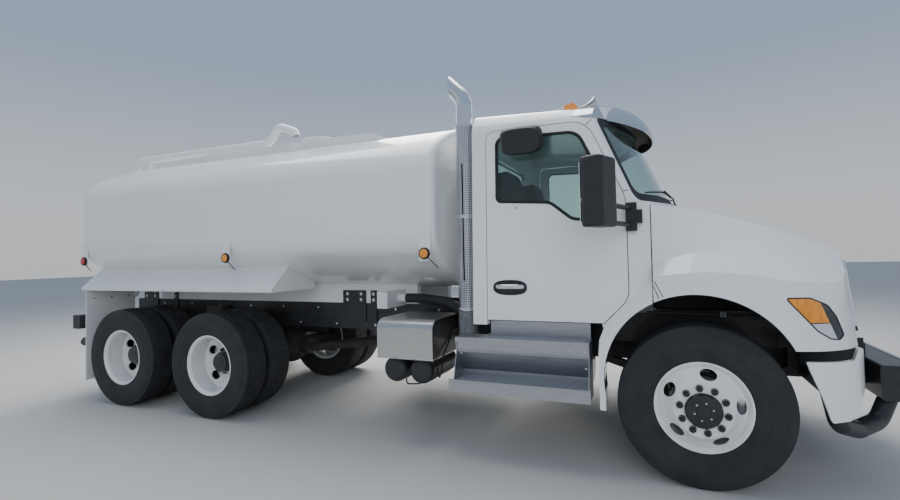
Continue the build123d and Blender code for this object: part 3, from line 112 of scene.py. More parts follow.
class Shape:
    def __init__(self):
        self.verts = []
        self.faces = []

    def add(self, verts, faces):
        start = len(self.verts)
        self.verts += [Vector(v) for v in verts]
        self.faces += [tuple(start + i for i in face) for face in faces]
        return self

    def box(self, low, high, matrix=None):
        corners = [Vector((x, y, z)) for x in (low[0], high[0]) for y in (low[1], high[1])
                   for z in (low[2], high[2])]
        if matrix is not None:
            corners = [matrix @ c for c in corners]
        sides = [(0, 1, 3, 2), (4, 6, 7, 5), (0, 4, 5, 1), (2, 3, 7, 6), (0, 2, 6, 4), (1, 5, 7, 3)]
        return self.add(corners, sides)

    def rings(self, rings, ends=True):
        """Skin over closed rings of equal count; the first and last are capped or joined to each other."""
        count = len(rings[0])
        verts = [p for ring in rings for p in ring]
        total = len(rings) if not ends else len(rings) - 1
        faces = []
        for i in range(total):
            n = (i + 1) % len(rings)
            faces += [(i * count + k, i * count + (k + 1) % count, n * count + (k + 1) % count, n * count + k)
                      for k in range(count)]
        if ends:
            last = (len(rings) - 1) * count
            faces += [tuple(reversed(range(count))), tuple(last + k for k in range(count))]
        return self.add(verts, faces)

    def hoop(self, centre, across, other, segments):
        """Ring of points round centre, at the ends of the arms across and other; gives their numbers."""
        first = len(self.verts)
        for k in range(segments):
            angle = 2 * pi * k / segments
            self.verts.append(centre + across * cos(angle) + other * sin(angle))
        return list(range(first, first + segments))

    def lathe(self, profile, origin, axis, segments=32):
        """Profile rows are (distance along the axis, radius); a radius of zero closes the end."""
        axis = Vector(axis).normalized()
        across = axis.orthogonal().normalized()
        other = axis.cross(across)
        rings = [self.hoop(Vector(origin) + axis * along, across * radius, other * radius,
                           segments if radius else 1) for along, radius in profile]
        for a, b in zip(rings, rings[1:]):
            for k in range(segments):
                n = (k + 1) % segments
                if len(b) == 1:
                    self.faces.append((a[k], b[0], a[n]))
                else:
                    self.faces.append((a[k], b[k], b[n], a[n]))
        return self

    def bolt(self, place, axis, radius=0.011, height=0.008):
        """Hexagon head on a washer."""
        washer = [(-0.001, radius * 1.5), (0.002, radius * 1.45), (0.002, radius)]
        head = [(height, radius), (height + 0.0015, radius * 0.8), (height + 0.0015, 0)]
        return self.lathe(washer + head, place, axis, 6)

    def tube(self, points, radius, segments=8, flat=None):
        """Round tube along points; flat=(normal, share) squeezes the section along normal."""
        points = [Vector(p) for p in points]
        rings = []
        side = None
        for i, point in enumerate(points):
            ahead = points[min(i + 1, len(points) - 1)] - points[max(i - 1, 0)]
            ahead.normalize()
            if flat:
                side = ahead.cross(Vector(flat[0])).normalized()
            elif side is None:
                side = ahead.orthogonal().normalized()
            else:
                side = (side - ahead * side.dot(ahead)).normalized()
            thick = radius * (flat[1] if flat else 1.0)
            rings.append(self.hoop(point, side * radius, ahead.cross(side) * thick, segments))
        for a, b in zip(rings, rings[1:]):
            for k in range(segments):
                n = (k + 1) % segments
                self.faces.append((a[k], b[k], b[n], a[n]))
        if (points[0] - points[-1]).length > 1e-6:
            self.faces += [tuple(rings[0]), tuple(reversed(rings[-1]))]
        return self

    def prism(self, points, direction):
        """Flat outline pushed along direction."""
        count = len(points)
        points = [Vector(p) for p in points]
        far = [p + Vector(direction) for p in points]
        faces = [tuple(range(count)), tuple(reversed(range(count, 2 * count)))]
        faces += [(i, i + count, (i + 1) % count + count, (i + 1) % count) for i in range(count)]
        return self.add(points + far, faces)

    def mirrored(self):
        """The same shape and its mirror image across the truck's middle plane."""
        verts = [Vector((v.x, -v.y, v.z)) for v in self.verts]
        return self.add(verts, [tuple(reversed(face)) for face in self.faces])


def piece(name, shape, material, body="chassis", smooth=35.0, replaces=()):
    """Makes the shape a piece that rides on a body; edges sharper than smooth degrees stay sharp."""
    mesh = bpy.data.meshes.new(name)
    mesh.from_pydata([tuple(v) for v in shape.verts], [], shape.faces)
    mesh.update()
    made = bmesh.new()
    made.from_mesh(mesh)
    bmesh.ops.recalc_face_normals(made, faces=made.faces)
    for edge in made.edges:
        edge.smooth = len(edge.link_faces) != 2 or edge.calc_face_angle(pi) < radians(smooth)
    for face in made.faces:
        face.smooth = True
    made.to_mesh(mesh)
    made.free()
    thing = link(name, mesh)
    mesh.materials.append(material)
    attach(thing, body)
    if replaces:
        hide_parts(*replaces)
    return thing


def rounded(corners, steps=6):
    """Points round a closed flat outline given as (u, v, corner radius) rows."""
    points = []
    for i, (u, v, radius) in enumerate(corners):
        here = Vector((u, v))
        back = (Vector(corners[i - 1][:2]) - here).normalized()
        ahead = (Vector(corners[(i + 1) % len(corners)][:2]) - here).normalized()
        half = back.angle(ahead) / 2
        reach = radius / (sin(half) / cos(half))
        centre = here + (back + ahead).normalized() * (radius / sin(half))
        first = here + back * reach - centre
        turn = first.angle_signed(here + ahead * reach - centre)
        for k in range(steps + 1):
            angle = -turn * k / steps
            points.append(centre + Matrix.Rotation(angle, 2) @ first)
    return points + [points[0].copy()]


def finer(points, step=0.05):
    """The same outline with its long stretches cut into short ones."""
    route = []
    for a, b in zip(points, points[1:]):
        parts = max(1, round((b - a).length / step))
        route += [a.lerp(b, k / parts) for k in range(parts)]
    return route + [points[-1]]


def smooth_route(points, radius, steps=6):
    """Route in space with its corners rounded to one radius."""
    points = [Vector(p) for p in points]
    route = [points[0]]
    for a, b, c in zip(points, points[1:], points[2:]):
        back = (a - b).normalized()
        ahead = (c - b).normalized()
        reach = min(radius, (a - b).length * 0.49, (c - b).length * 0.49)
        for k in range(steps + 1):
            t = k / steps
            route.append(b + back * reach * (1 - t) ** 2 + ahead * reach * t ** 2)
    route.append(points[-1])
    return route


def drape(node, side, route, proud):
    """Route of (x, z) rows laid on the outside of a node, seen from one side."""
    tree = BVHTree.FromObject(nodes[node], bpy.context.evaluated_depsgraph_get())
    points = []
    for x, z in route:
        hit = tree.ray_cast(Vector((x, side * OUTSIDE, z)), Vector((0, -side, 0)))[0]
        if hit is not None:
            points.append(hit + Vector((0, side * proud, 0)))
    return points


def along(start, end, count=10):
    """Equal steps from start to end."""
    return [tuple(a + (b - a) * k / count for a, b in zip(start, end)) for k in range(count + 1)]


# Materials

def surface(name, colour, rough=0.4, metal=0.0, coat=0.0, grain=6.0, vary=0.05, bump=0.0, fine=200.0,
            stretch=(1, 1, 1), rough_spread=0.06, mask=None):
    """Painted, metal, rubber or plastic surface with uneven colour, uneven gloss and fine bumps."""
    material = bpy.data.materials.new(name)
    material.use_nodes = True
    tree = material.node_tree
    join = tree.links.new

    def new(kind, **values):
        node = tree.nodes.new("ShaderNode" + kind)
        for socket, value in values.items():
            node.inputs[socket.replace("_", " ")].default_value = value
        return node

    shader = tree.nodes["Principled BSDF"]
    shader.inputs["Metallic"].default_value = metal
    shader.inputs["Coat Weight"].default_value = coat
    shader.inputs["Coat Roughness"].default_value = 0.04
    place = new("TexCoord")
    scale = new("Mapping", Scale=stretch)
    join(place.outputs["Object"], scale.inputs["Vector"])
    cloud = new("TexNoise", Scale=grain, Detail=5)
    join(scale.outputs["Vector"], cloud.inputs["Vector"])
    ramp = new("ValToRGB")
    for stop, position, share in zip(ramp.color_ramp.elements, (0.3, 0.7), (1 - vary, 1 + vary)):
        stop.position = position
        stop.color = (*[min(1.0, c * share) for c in colour], 1)
    join(cloud.outputs["Fac"], ramp.inputs["Fac"])
    join(ramp.outputs["Color"], shader.inputs["Base Color"])
    gloss = new("MapRange", To_Min=max(0.02, rough - rough_spread), To_Max=min(1.0, rough + rough_spread))
    join(cloud.outputs["Fac"], gloss.inputs["Value"])
    join(gloss.outputs["Result"], shader.inputs["Roughness"])
    if bump:
        ripple = new("TexNoise", Scale=fine, Detail=3)
        join(scale.outputs["Vector"], ripple.inputs["Vector"])
        relief = new("Bump", Strength=1.0, Distance=bump)
        join(ripple.outputs["Fac"], relief.inputs["Height"])
        join(relief.outputs["Normal"], shader.inputs["Normal"])
    if mask:
        mask(Sums(tree, ramp, shader))
    return material


def alloy(name, colour, rough, grain, vary, **more):
    return surface(name, colour, rough=rough, metal=1.0, grain=grain, vary=vary, **more)


def lens(name, colour, rough, vary, fine, mask=None):
    return surface(name, colour, rough=rough, coat=1.0, grain=60, vary=vary, bump=0.0006, fine=fine,
                   mask=mask)


class Sums:
    """Short names for the sums that a colour mask is made of; paint adds the masked colours in turn."""

    def __init__(self, tree, ramp, shader):
        self.tree = tree
        self.shader = shader
        self.colour = ramp.outputs["Color"]
        self.place = tree.nodes.new("ShaderNodeTexCoord")
        self.x, self.y, self.z = self.split("Object")

    def split(self, output):
        parts = self.tree.nodes.new("ShaderNodeSeparateXYZ")
        self.tree.links.new(self.place.outputs[output], parts.inputs["Vector"])
        return parts.outputs["X"], parts.outputs["Y"], parts.outputs["Z"]

    def sum(self, operation, *values):
        node = self.tree.nodes.new("ShaderNodeMath")
        node.operation = operation
        for socket, value in zip(node.inputs, values):
            if isinstance(value, (int, float)):
                socket.default_value = value
            else:
                self.tree.links.new(value, socket)
        return node.outputs["Value"]

    def reach(self, x, z):
        """Distance from the line through (x, z) that runs across the truck."""
        across = self.sum("SUBTRACT", self.x, x)
        up = self.sum("SUBTRACT", self.z, z)
        return self.sum("SQRT", self.sum("MULTIPLY_ADD", across, across, self.sum("MULTIPLY", up, up)))

    def below(self, value, limit):
        return self.sum("LESS_THAN", value, limit)

    def paint(self, colour, where):
        """Puts another colour where the mask is one."""
        mix = self.tree.nodes.new("ShaderNodeMix")
        mix.data_type = "RGBA"
        mix.inputs["B"].default_value = (*colour, 1)
        self.tree.links.new(self.colour, mix.inputs["A"])
        self.tree.links.new(where, mix.inputs["Factor"])
        self.colour = mix.outputs["Result"]
        self.tree.links.new(self.colour, self.shader.inputs["Base Color"])


DARK = (0.018, 0.018, 0.020)
DRUM_RADIUS = 0.235
DRUM_CONE = (1.03, 0.16)        # slope and reach of the cone between the drum and the disc
HUB_RADIUS = 0.112


def wheel_paint(name, node, mount):
    """White wheel with its hub and brake drum in black, told apart by the distance from the axle line."""
    hub = middle(node)

    def mask(sums):
        reach = sums.reach(hub.x, hub.z)
        out = sums.sum("ABSOLUTE", sums.y)
        drum = sums.below(sums.sum("MULTIPLY_ADD", reach, DRUM_CONE[0], out), mount + DRUM_CONE[1])
        drum = sums.sum("MULTIPLY", drum, sums.below(out, mount - 0.006))
        drum = sums.sum("MULTIPLY", drum, sums.below(reach, DRUM_RADIUS))
        dark = sums.sum("MAXIMUM", drum, sums.below(reach, HUB_RADIUS))
        sums.paint(DARK, dark)

    return surface(name, (0.80, 0.81, 0.80), rough=0.33, coat=0.35, bump=0.0002, fine=350, mask=mask)


def arch_mask(sums):
    """Black on the cut edge of the front wheel arches."""
    sums.paint(DARK, sums.below(sums.reach(*ARCH), ARCH_EDGE))


def inner_shade_mask(sums):
    """Painted shade: black on faces that look into the truck, backwards or down; black also on the edge of
    the arches.
    """
    normal_x, normal_y, normal_z = sums.split("Normal")
    outward = sums.sum("MULTIPLY", sums.sum("SIGN", sums.y), normal_y)
    shaded = sums.below(outward, -0.08)
    for value, limit in ((normal_z, -0.55), (normal_x, -0.5), (sums.reach(*ARCH), ARCH_EDGE)):
        shaded = sums.sum("MAXIMUM", shaded, sums.below(value, limit))
    sums.paint(DARK, shaded)


def underside_reflection_mask(sums):
    """Painted floor reflection and painted shade: warm grey on faces that look down."""
    sums.paint((0.50, 0.46, 0.42), sums.below(sums.split("Normal")[2], 0.0))


def shield_shade_mask(sums):
    """Painted shade: near black below the shield's top edge, so that the shield's holes look dark."""
    sums.paint((0.020, 0.020, 0.021), sums.below(sums.z, SHIELD_TOP))


def lamp_mask(sums):
    """Amber at the upper rear of the lamp; silver below it, and black ahead of a leaning line."""
    line = sums.sum("MULTIPLY_ADD", sums.z, LAMP_SPLIT[1], sums.sum("MULTIPLY", sums.x, LAMP_SPLIT[0]))
    ahead = sums.sum("GREATER_THAN", line, LAMP_SPLIT[2])
    low = sums.below(sums.z, LAMP_AMBER_FOOT)
    edge = sums.sum("COMPARE", sums.z, LAMP_AMBER_FOOT, 0.003)
    sums.paint((0.62, 0.63, 0.66), low)
    sums.paint((0.030, 0.031, 0.034), ahead)
    sums.paint((0.04, 0.025, 0.02), edge)


def roof_lamp_mask(sums):
    """White base at the rear of each roof lamp."""
    high = sums.sum("GREATER_THAN", sums.z, ROOF_LAMP_FOOT)
    base = sums.sum("MULTIPLY", high, sums.below(sums.x, ROOF_LAMP_LENS))
    sums.paint((0.62, 0.64, 0.66), base)


LAMP_START = Vector((0.704, 0, 1.140))
LAMP_END = Vector((0.671, 0, 1.221))
LAMP_RUN = (LAMP_END - LAMP_START).normalized()
LAMP_SPLIT = (LAMP_RUN.z, -LAMP_RUN.x, LAMP_RUN.z * (AXLE + LAMP_START.x) - LAMP_RUN.x * LAMP_START.z)
LAMP_AMBER_FOOT = 1.113
ROOF_LAMP_FOOT = 2.5            # height between the side lamps and the roof lamps
ROOF_LAMP_LENS = AXLE - 0.925   # x of the line between the base and the lens


CAB_PAINT = dict(colour=(0.83, 0.845, 0.85), rough=0.30, coat=0.9, grain=1.3, vary=0.015, bump=0.00006,
                 fine=260)
white = surface("white_paint", **CAB_PAINT)
arch_white = surface("arch_paint", mask=arch_mask, **CAB_PAINT)
# The hood's paint carries painted shade on faces that look into the truck, backwards or down.
hood_white = surface("hood_paint", mask=inner_shade_mask, **CAB_PAINT)
tank_white = surface("tank_paint", (0.80, 0.815, 0.82), rough=0.34, coat=0.7, grain=0.9, vary=0.02,
                     bump=0.0006, fine=7)
sheet_white = surface("sheet_paint", (0.74, 0.755, 0.76), rough=0.42, coat=0.3, grain=2.5, vary=0.04,
                      bump=0.0002, fine=40)
black = surface("chassis_black", (0.020, 0.021, 0.023), rough=0.42, coat=0.15, grain=9, vary=0.25,
                bump=0.0003, fine=120)
dusty_black = surface("dusty_black", (0.045, 0.044, 0.043), rough=0.7, grain=14, vary=0.3, bump=0.0006,
                      fine=90)
plastic = surface("black_plastic", (0.022, 0.023, 0.024), rough=0.5, grain=20, vary=0.12, bump=0.00025,
                  fine=900)
rubber = surface("seal_rubber", (0.012, 0.012, 0.013), rough=0.55, grain=30, vary=0.2, bump=0.0002, fine=500)
tyre_black = surface("tyre_rubber", (0.026, 0.027, 0.029), rough=0.72, grain=7, vary=0.28, bump=0.0006,
                     fine=260)
hose_black = surface("hose_rubber", (0.02, 0.02, 0.021), rough=0.5, grain=15, vary=0.2, bump=0.0012, fine=60)
chrome = alloy("chrome", (0.80, 0.81, 0.83), 0.09, 4, 0.04, rough_spread=0.04)
# The visor's metal carries a painted floor reflection and painted shade on its underside.
visor_metal = alloy("visor_chrome", (0.62, 0.64, 0.67), 0.12, 3, 0.05, rough_spread=0.04, mask=underside_reflection_mask)
lamp_glass = surface("lamp_glass", (0.88, 0.30, 0.03), rough=0.10, coat=1.0, grain=50, vary=0.20, bump=0.0012,
                     fine=90, stretch=(1, 1, 0.25), mask=lamp_mask)
STACK = dict(colour=(0.74, 0.76, 0.80), rough=0.16, grain=3, vary=0.08)
stack_metal = alloy("stack_chrome", **STACK)
# The stack pipe carries painted shade below the shield's top edge.
stack_pipe = alloy("stack_pipe", mask=shield_shade_mask, **STACK)
horn_metal = alloy("horn_chrome", (0.36, 0.38, 0.42), 0.16, 6, 0.08, rough_spread=0.05)
steel = alloy("brushed_steel", (0.60, 0.59, 0.57), 0.30, 30, 0.07, bump=0.00008, fine=60,
              stretch=(0.25, 6, 6))
step_metal = alloy("step_aluminium", (0.50, 0.51, 0.53), 0.42, 26, 0.12, bump=0.00015, fine=80,
                   stretch=(0.2, 4, 4))
cast = surface("cast_metal", (0.30, 0.30, 0.31), rough=0.55, metal=0.8, grain=25, vary=0.2, bump=0.0004,
               fine=300)
bright = alloy("bright_bolt", (0.72, 0.72, 0.72), 0.25, 40, 0.1)
amber = lens("amber_lens", (0.90, 0.30, 0.02), 0.12, 0.18, 220)
roof_amber = lens("roof_lamp", (0.90, 0.28, 0.03), 0.15, 0.18, 160, roof_lamp_mask)
red = lens("red_lens", (0.55, 0.015, 0.012), 0.12, 0.2, 220)
trim = surface("cab_trim", (0.115, 0.118, 0.125), rough=0.75, grain=20, vary=0.12, bump=0.0004, fine=500)
cloth = surface("seat_cloth", (0.060, 0.063, 0.070), rough=0.9, grain=300, vary=0.35, bump=0.0012, fine=900)
boot_cloth = surface("boot_cloth", (0.16, 0.165, 0.175), rough=0.85, grain=30, vary=0.25, bump=0.006, fine=26)
fins = surface("radiator_fins", (0.05, 0.052, 0.055), rough=0.6, metal=0.5, grain=8, vary=0.2, bump=0.002,
               fine=300, stretch=(1, 1, 6))
mirror_glass = alloy("mirror_glass", (0.85, 0.87, 0.88), 0.04, 2, 0.02, rough_spread=0.02)
tinted = surface("tinted_glass", (0.63, 0.80, 0.77), rough=0.01, grain=2.0, vary=0.03, rough_spread=0.008)
tinted_shader = tinted.node_tree.nodes["Principled BSDF"]
tinted_shader.inputs["Transmission Weight"].default_value = 1.0
tinted_shader.inputs["IOR"].default_value = 1.45

CAD_MATERIALS = {
    tank_white: ["tank_shell"],
    sheet_white: ["side_skirts", "mudflaps", "tank_sills", "tank_dam", "rear_ladder"],
    white: ["manhole_lid", "fill_pipe", "door_left", "door_right", "bumper_ends"],
    arch_white: ["cab_shell", "quarter_fenders"],
    hood_white: ["hood"],
    black: ["front_axle", "frame_rails", "rear_bumper", "spray_bar", "front_guard", "air_tanks",
            "knuckle_left", "knuckle_right", "tie_rod"],
    dusty_black: ["front_springs", "engine_block", "drive_axles", "tandem_suspension"],
    fins: ["radiator"],
    hose_black: ["water_hose"],
    stack_pipe: ["exhaust_stack"],
    stack_metal: ["heat_shield"],
    chrome: ["grille"],
    horn_metal: ["air_horn"],
    visor_metal: ["sun_visor"],
    lamp_glass: ["headlights"],
    steel: ["battery_box", "fuel_tank"],
    step_metal: ["cab_steps"],
    tinted: ["cab_glass", "door_glass_left", "door_glass_right"],
    roof_amber: ["marker_lamps"],
    red: ["tail_lamps"],
    plastic: ["mirrors", "steering_wheel"],
    trim: ["cab_interior"],
}
for material, names in CAD_MATERIALS.items():
    for name in names:
        finish(name, material)
for wheel, (tyre_node, rim_node) in WHEELS.items():
    mount = FRONT_MOUNT if wheel.startswith("front") else TWIN_MOUNT
    finish(rim_node, wheel_paint(f"{wheel}_wheel_paint", tyre_node, mount))
    finish(tyre_node, tyre_black)


# Tyres: a rounded casing with grooves round the tread and across it

GROOVE_DEPTH = 0.013
SIDEWALL = [
    # half width, distance from the tread down
    (0.1120, 0.2370), (0.1165, 0.2315), (0.1195, 0.2230), (0.1240, 0.2080), (0.1262, 0.2060),
    (0.1310, 0.1780), (0.1358, 0.1450), (0.1376, 0.1440), (0.1400, 0.1180), (0.1396, 0.0950),
    (0.1372, 0.0660), (0.1388, 0.0650), (0.1376, 0.0560), (0.1352, 0.0555), (0.1300, 0.0360),
    (0.1235, 0.0170), (0.1190, 0.0080),
]
RIBS = [
    # half width, 1 where the row is the floor of a groove
    (0.1140, 0), (0.0800, 0), (0.0775, 1), (0.0675, 1), (0.0650, 0), (0.0330, 0), (0.0305, 1), (0.0205, 1),
    (0.0180, 0),
]


# Shares of a pitch: on the sidewalls, and on the ribs, where a groove lies at the middle two
SIDE_COLUMNS = (0.0, 0.40, 0.44, 0.96)
RIB_COLUMNS = (0.0, 0.44, 0.56, 1.0)
CROWN = 0.0035


def tyre(shape, centre_y, centre, radius, pitches, cut, slant):
    """One tyre; cut lists which ribs (0 shoulder, 1 middle, 2 centre) have grooves across them."""
    rows = [(y, radius - drop, None) for y, drop in SIDEWALL]
    for y, floor in RIBS:
        crown = radius - CROWN * (y / RIBS[0][0]) ** 2
        rib = 0 if y > 0.07 else 1 if y > 0.025 else 2
        rows.append((y, crown - (GROOVE_DEPTH if floor else 0), None if floor else rib))
    rows += [(-y, r, rib) for y, r, rib in reversed(rows)]
    bead = rows[0][1] - 0.0008
    rows += [(-0.100, bead, None), (0.100, bead, None)]
    start = len(shape.verts)
    for pitch in range(pitches):
        for place in range(len(RIB_COLUMNS)):
            for y, r, rib in rows:
                part = (SIDE_COLUMNS if rib is None else RIB_COLUMNS)[place]
                lean = slant * abs(y) + (0.5 / pitches if rib == 0 and y < 0 else 0.0)
                angle = 2 * pi * (pitch + part) / pitches + lean / radius
                reach = r - (GROOVE_DEPTH * 0.8 if rib in cut and place in (1, 2) else 0.0)
                shape.verts.append(Vector((centre.x + sin(angle) * reach, centre_y + y,
                                           centre.z + cos(angle) * reach)))
    total = pitches * len(RIB_COLUMNS)
    count = len(rows)
    for i in range(total):
        j = (i + 1) % total
        for k in range(count):
            n = (k + 1) % count
            face = (i * count + k, i * count + n, j * count + n, j * count + k)
            shape.faces.append(tuple(start + f for f in face))


for wheel, (tyre_node, rim_node) in WHEELS.items():
    side = 1 if wheel.endswith("left") else -1
    centre = middle(tyre_node)
    shape = Shape()
    if wheel.startswith("front"):
        body = f"front_wheel_{wheel.split('_')[1]}"
        tyre(shape, centre.y, centre, FRONT_TYRE_RADIUS, 84, (), 0.0)
    else:
        body = f"{wheel.split('_')[0]}_wheels_{wheel.split('_')[1]}"
        for half in (-0.5, 0.5):
            tyre(shape, centre.y + half * TWIN_SPACING, centre, REAR_TYRE_RADIUS, 54, (0, 1, 2), 0.25)
    piece(f"{wheel}_tyre_tread", shape, tyre_black, body, smooth=28, replaces=(tyre_node,))

    # Wheel nuts, hub cap and hub bolts
    out = Vector((0, side, 0))
    if wheel.startswith("front"):
        mount = FRONT_MOUNT
        profile = [(0.009, 0.1125), (0.030, 0.1125), (0.036, 0.108), (0.0445, 0.104), (0.0465, 0.099),
                   (0.0465, 0.045), (0.0520, 0.040), (0.0520, 0)]
        bolt_circle, bolt_count, bolt_place, bolt_radius, hub_bolt = 0.057, 6, 0.0465, 0.0048, bright
    else:
        mount = TWIN_MOUNT
        profile = [(0.010, 0.1120), (0.060, 0.1110), (0.074, 0.0960), (0.084, 0.0860), (0.088, 0.0900),
                   (0.104, 0.0900), (0.106, 0.0860), (0.114, 0.0640), (0.150, 0.0600), (0.158, 0.0560),
                   (0.158, 0)]
        bolt_circle, bolt_count, bolt_place, bolt_radius, hub_bolt = 0.073, 8, 0.104, 0.015, black
    hub_start = Vector((centre.x, side * mount, centre.z))
    face = Vector((centre.x, side * (mount + DISC), centre.z))
    cap = Shape().lathe(profile, hub_start, out, 48)
    piece(f"{wheel}_hub_cap", cap, black, body)
    nuts = Shape()
    studs = Shape()
    for k in range(NUT_COUNT):
        angle = 2 * pi * k / NUT_COUNT + NUT_TURN
        spot = face + Vector((sin(angle) * NUT_CIRCLE, 0, cos(angle) * NUT_CIRCLE))
        nuts.lathe([(-0.001, 0.0235), (0.004, 0.0235), (0.006, 0.0205)], spot, out, 20)
        nuts.lathe([(0.004, 0.0195), (0.026, 0.0195), (0.029, 0.0165), (0.029, 0.0105), (0.040, 0.0105),
                    (0.042, 0.0085), (0.042, 0)], spot, out, 6)
    for k in range(bolt_count):
        angle = 2 * pi * (k + 0.25) / bolt_count
        spot = hub_start + out * bolt_place + Vector((sin(angle) * bolt_circle, 0, cos(angle) * bolt_circle))
        studs.bolt(spot, out, bolt_radius, 0.006)
    piece(f"{wheel}_wheel_nuts", nuts, black, body)
    piece(f"{wheel}_hub_bolts", studs, hub_bolt, body)


# Perforated heat shield round the stack

shield_low, shield_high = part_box("heat_shield")
shield_axis = middle("heat_shield")
SHIELD_RADIUS = 0.0795
HOLES_ROUND = 34
HOLE_SHARE = 0.32
SLOT_COLUMN = 25                # the column of holes that faces straight out of the right side
SLOT_LOW = 1.36
SLOT_HIGH = 2.33
pitch_round = 2 * pi / HOLES_ROUND
rows_up = int((shield_high.z - shield_low.z) / (SHIELD_RADIUS * pitch_round))
row_height = (shield_high.z - shield_low.z) / rows_up
shield = Shape()
for row in range(rows_up):
    solid = row in (0, rows_up - 1, rows_up // 2)
    for column in range(HOLES_ROUND):
        angle = column * pitch_round
        z = shield_low.z + row * row_height

        def spot(u, v, inner=0.0):
            a = angle + u * pitch_round
            r = SHIELD_RADIUS - inner
            return (shield_axis.x + cos(a) * r, shield_axis.y + sin(a) * r, z + v * row_height)

        if solid:
            shield.add([spot(0, 0), spot(1, 0), spot(1, 1), spot(0, 1)], [(0, 1, 2, 3)])
            continue
        if column == SLOT_COLUMN and SLOT_LOW < z < SLOT_HIGH:
            continue
        outer = [(1, 0.5), (1, 1), (0.5, 1), (0, 1), (0, 0.5), (0, 0), (0.5, 0), (1, 0)]
        hole = [(0.5 + HOLE_SHARE * cos(k * pi / 4), 0.5 + HOLE_SHARE * sin(k * pi / 4)) for k in range(8)]
        ring = [spot(u, v) for u, v in outer] + [spot(u, v) for u, v in hole]
        faces = [(k, (k + 1) % 8, (k + 1) % 8 + 8, k + 8) for k in range(8)]
        shield.add(ring, faces)
piece("shield_sheet", shield, stack_metal, replaces=("heat_shield",))
clamps = Shape()
for z in (shield_low.z + 0.012, shield_high.z - 0.012, (shield_low.z + shield_high.z) / 2):
    clamps.lathe([(-0.011, 0.0672), (-0.011, 0.0815), (-0.007, 0.083), (0.007, 0.083), (0.011, 0.0815),
                  (0.011, 0.0672)], (shield_axis.x, shield_axis.y, z), (0, 0, 1), 48)
    clamps.box((shield_axis.x + 0.078, shield_axis.y - 0.012, z - 0.009),
               (shield_axis.x + 0.100, shield_axis.y + 0.012, z + 0.009))
piece("shield_clamps", clamps, stack_metal)

# Grey wrap at the foot of the stack
boot = Shape()
boot_profile = [(0.0, 0.070), (0.0, 0.078), (0.02, 0.083), (0.06, 0.080), (0.12, 0.084), (0.16, 0.079),
                (0.19, 0.082), (0.21, 0.074), (0.21, 0.068)]
boot.lathe(boot_profile, (shield_axis.x, shield_axis.y, 0.900), (0, 0, 1), 40)
piece("stack_wrap", boot, boot_cloth)


# Lines of seal along the sharp edges of a CAD piece

def edge_lines(node, keep, radius, sharp=40.0, segments=6):
    """Thin tubes along a node's sharp edges, where keep says so of an edge's middle."""
    made = bmesh.new()
    made.from_mesh(nodes[node].data)
    bmesh.ops.remove_doubles(made, verts=made.verts, dist=1e-5)
    shape = Shape()
    for edge in made.edges:
        if len(edge.link_faces) != 2 or edge.calc_face_angle(0) < radians(sharp):
            continue
        a, b = edge.verts[0].co, edge.verts[1].co
        if keep((a + b) / 2) and (a - b).length > 1e-4:
            reach = (b - a).normalized() * radius * 0.3
            shape.tube([a - reach, b + reach], radius, segments)
    made.free()
    return shape


WINDOW = [
    # distance ahead of the front axle, height, corner radius
    (-1.415, 1.995, 0.040), (-1.415, 2.512, 0.060), (-0.775, 2.492, 0.120), (-0.560, 2.030, 0.100),
    (-0.560, 1.825, 0.060), (-0.820, 1.825, 0.120), (-0.990, 1.965, 0.120),
]
SCREEN = [(-1.005, 1.952, 0.060), (-0.965, 2.600, 0.060), (0.965, 2.600, 0.060), (1.005, 1.952, 0.060)]
SCREEN_CLEAR = [(-0.965, 2.005, 0.060), (-0.930, 2.550, 0.060), (0.930, 2.550, 0.060), (0.965, 2.005, 0.060)]
BACK_WINDOW = [(-0.600, 2.000, 0.060), (-0.600, 2.450, 0.060), (0.600, 2.450, 0.060), (0.600, 2.000, 0.060)]

for name, side in SIDES.items():
    seal = Shape()
    route = [(AXLE + u, side * (cab_side(v) - 0.004), v) for u, v in rounded(WINDOW)]
    seal.tube(route, 0.013, 8, flat=((0, side, 0), 0.8))
    piece(f"window_seal_{name}", seal, rubber, f"door_{name}")

# Black border of the windshield, flush with the skin
BAND_CELLS = 24


def border(outline):
    """Outline with every corner in eight steps and every side in equal parts, so that two of them match."""
    points = rounded(outline, 8)
    route = []
    for a, b in zip(points, points[1:]):
        parts = BAND_CELLS if (b - a).length > 0.3 else 1
        route += [a.lerp(b, k / parts) for k in range(parts)]
    return route


band_out = border(SCREEN)
band_in = border(SCREEN_CLEAR)
screen_band = Shape()
screen_band.rings([[screen_point(u * 0.999, v, GLASS_DEPTH - 0.0005) for u, v in band_out],
                   [screen_point(u * 0.999, v, 0.003) for u, v in band_out],
                   [screen_point(u, v, 0.003) for u, v in band_in],
                   [screen_point(u, v, GLASS_DEPTH - 0.0005) for u, v in band_in]], ends=False)
piece("screen_band", screen_band, rubber)
screen_seal = Shape()
screen_seal.tube([screen_point(u, v, 0.003) for u, v in finer(rounded(SCREEN, 8))], 0.008, 8,
                 flat=((1, 0, SCREEN_RAKE), 0.7))
screen_seal.tube([(CAB_BACK - 0.002, u, v) for u, v in rounded(BACK_WINDOW)], 0.013, 8, flat=((1, 0, 0), 0.8))
piece("screen_seals", screen_seal, rubber)

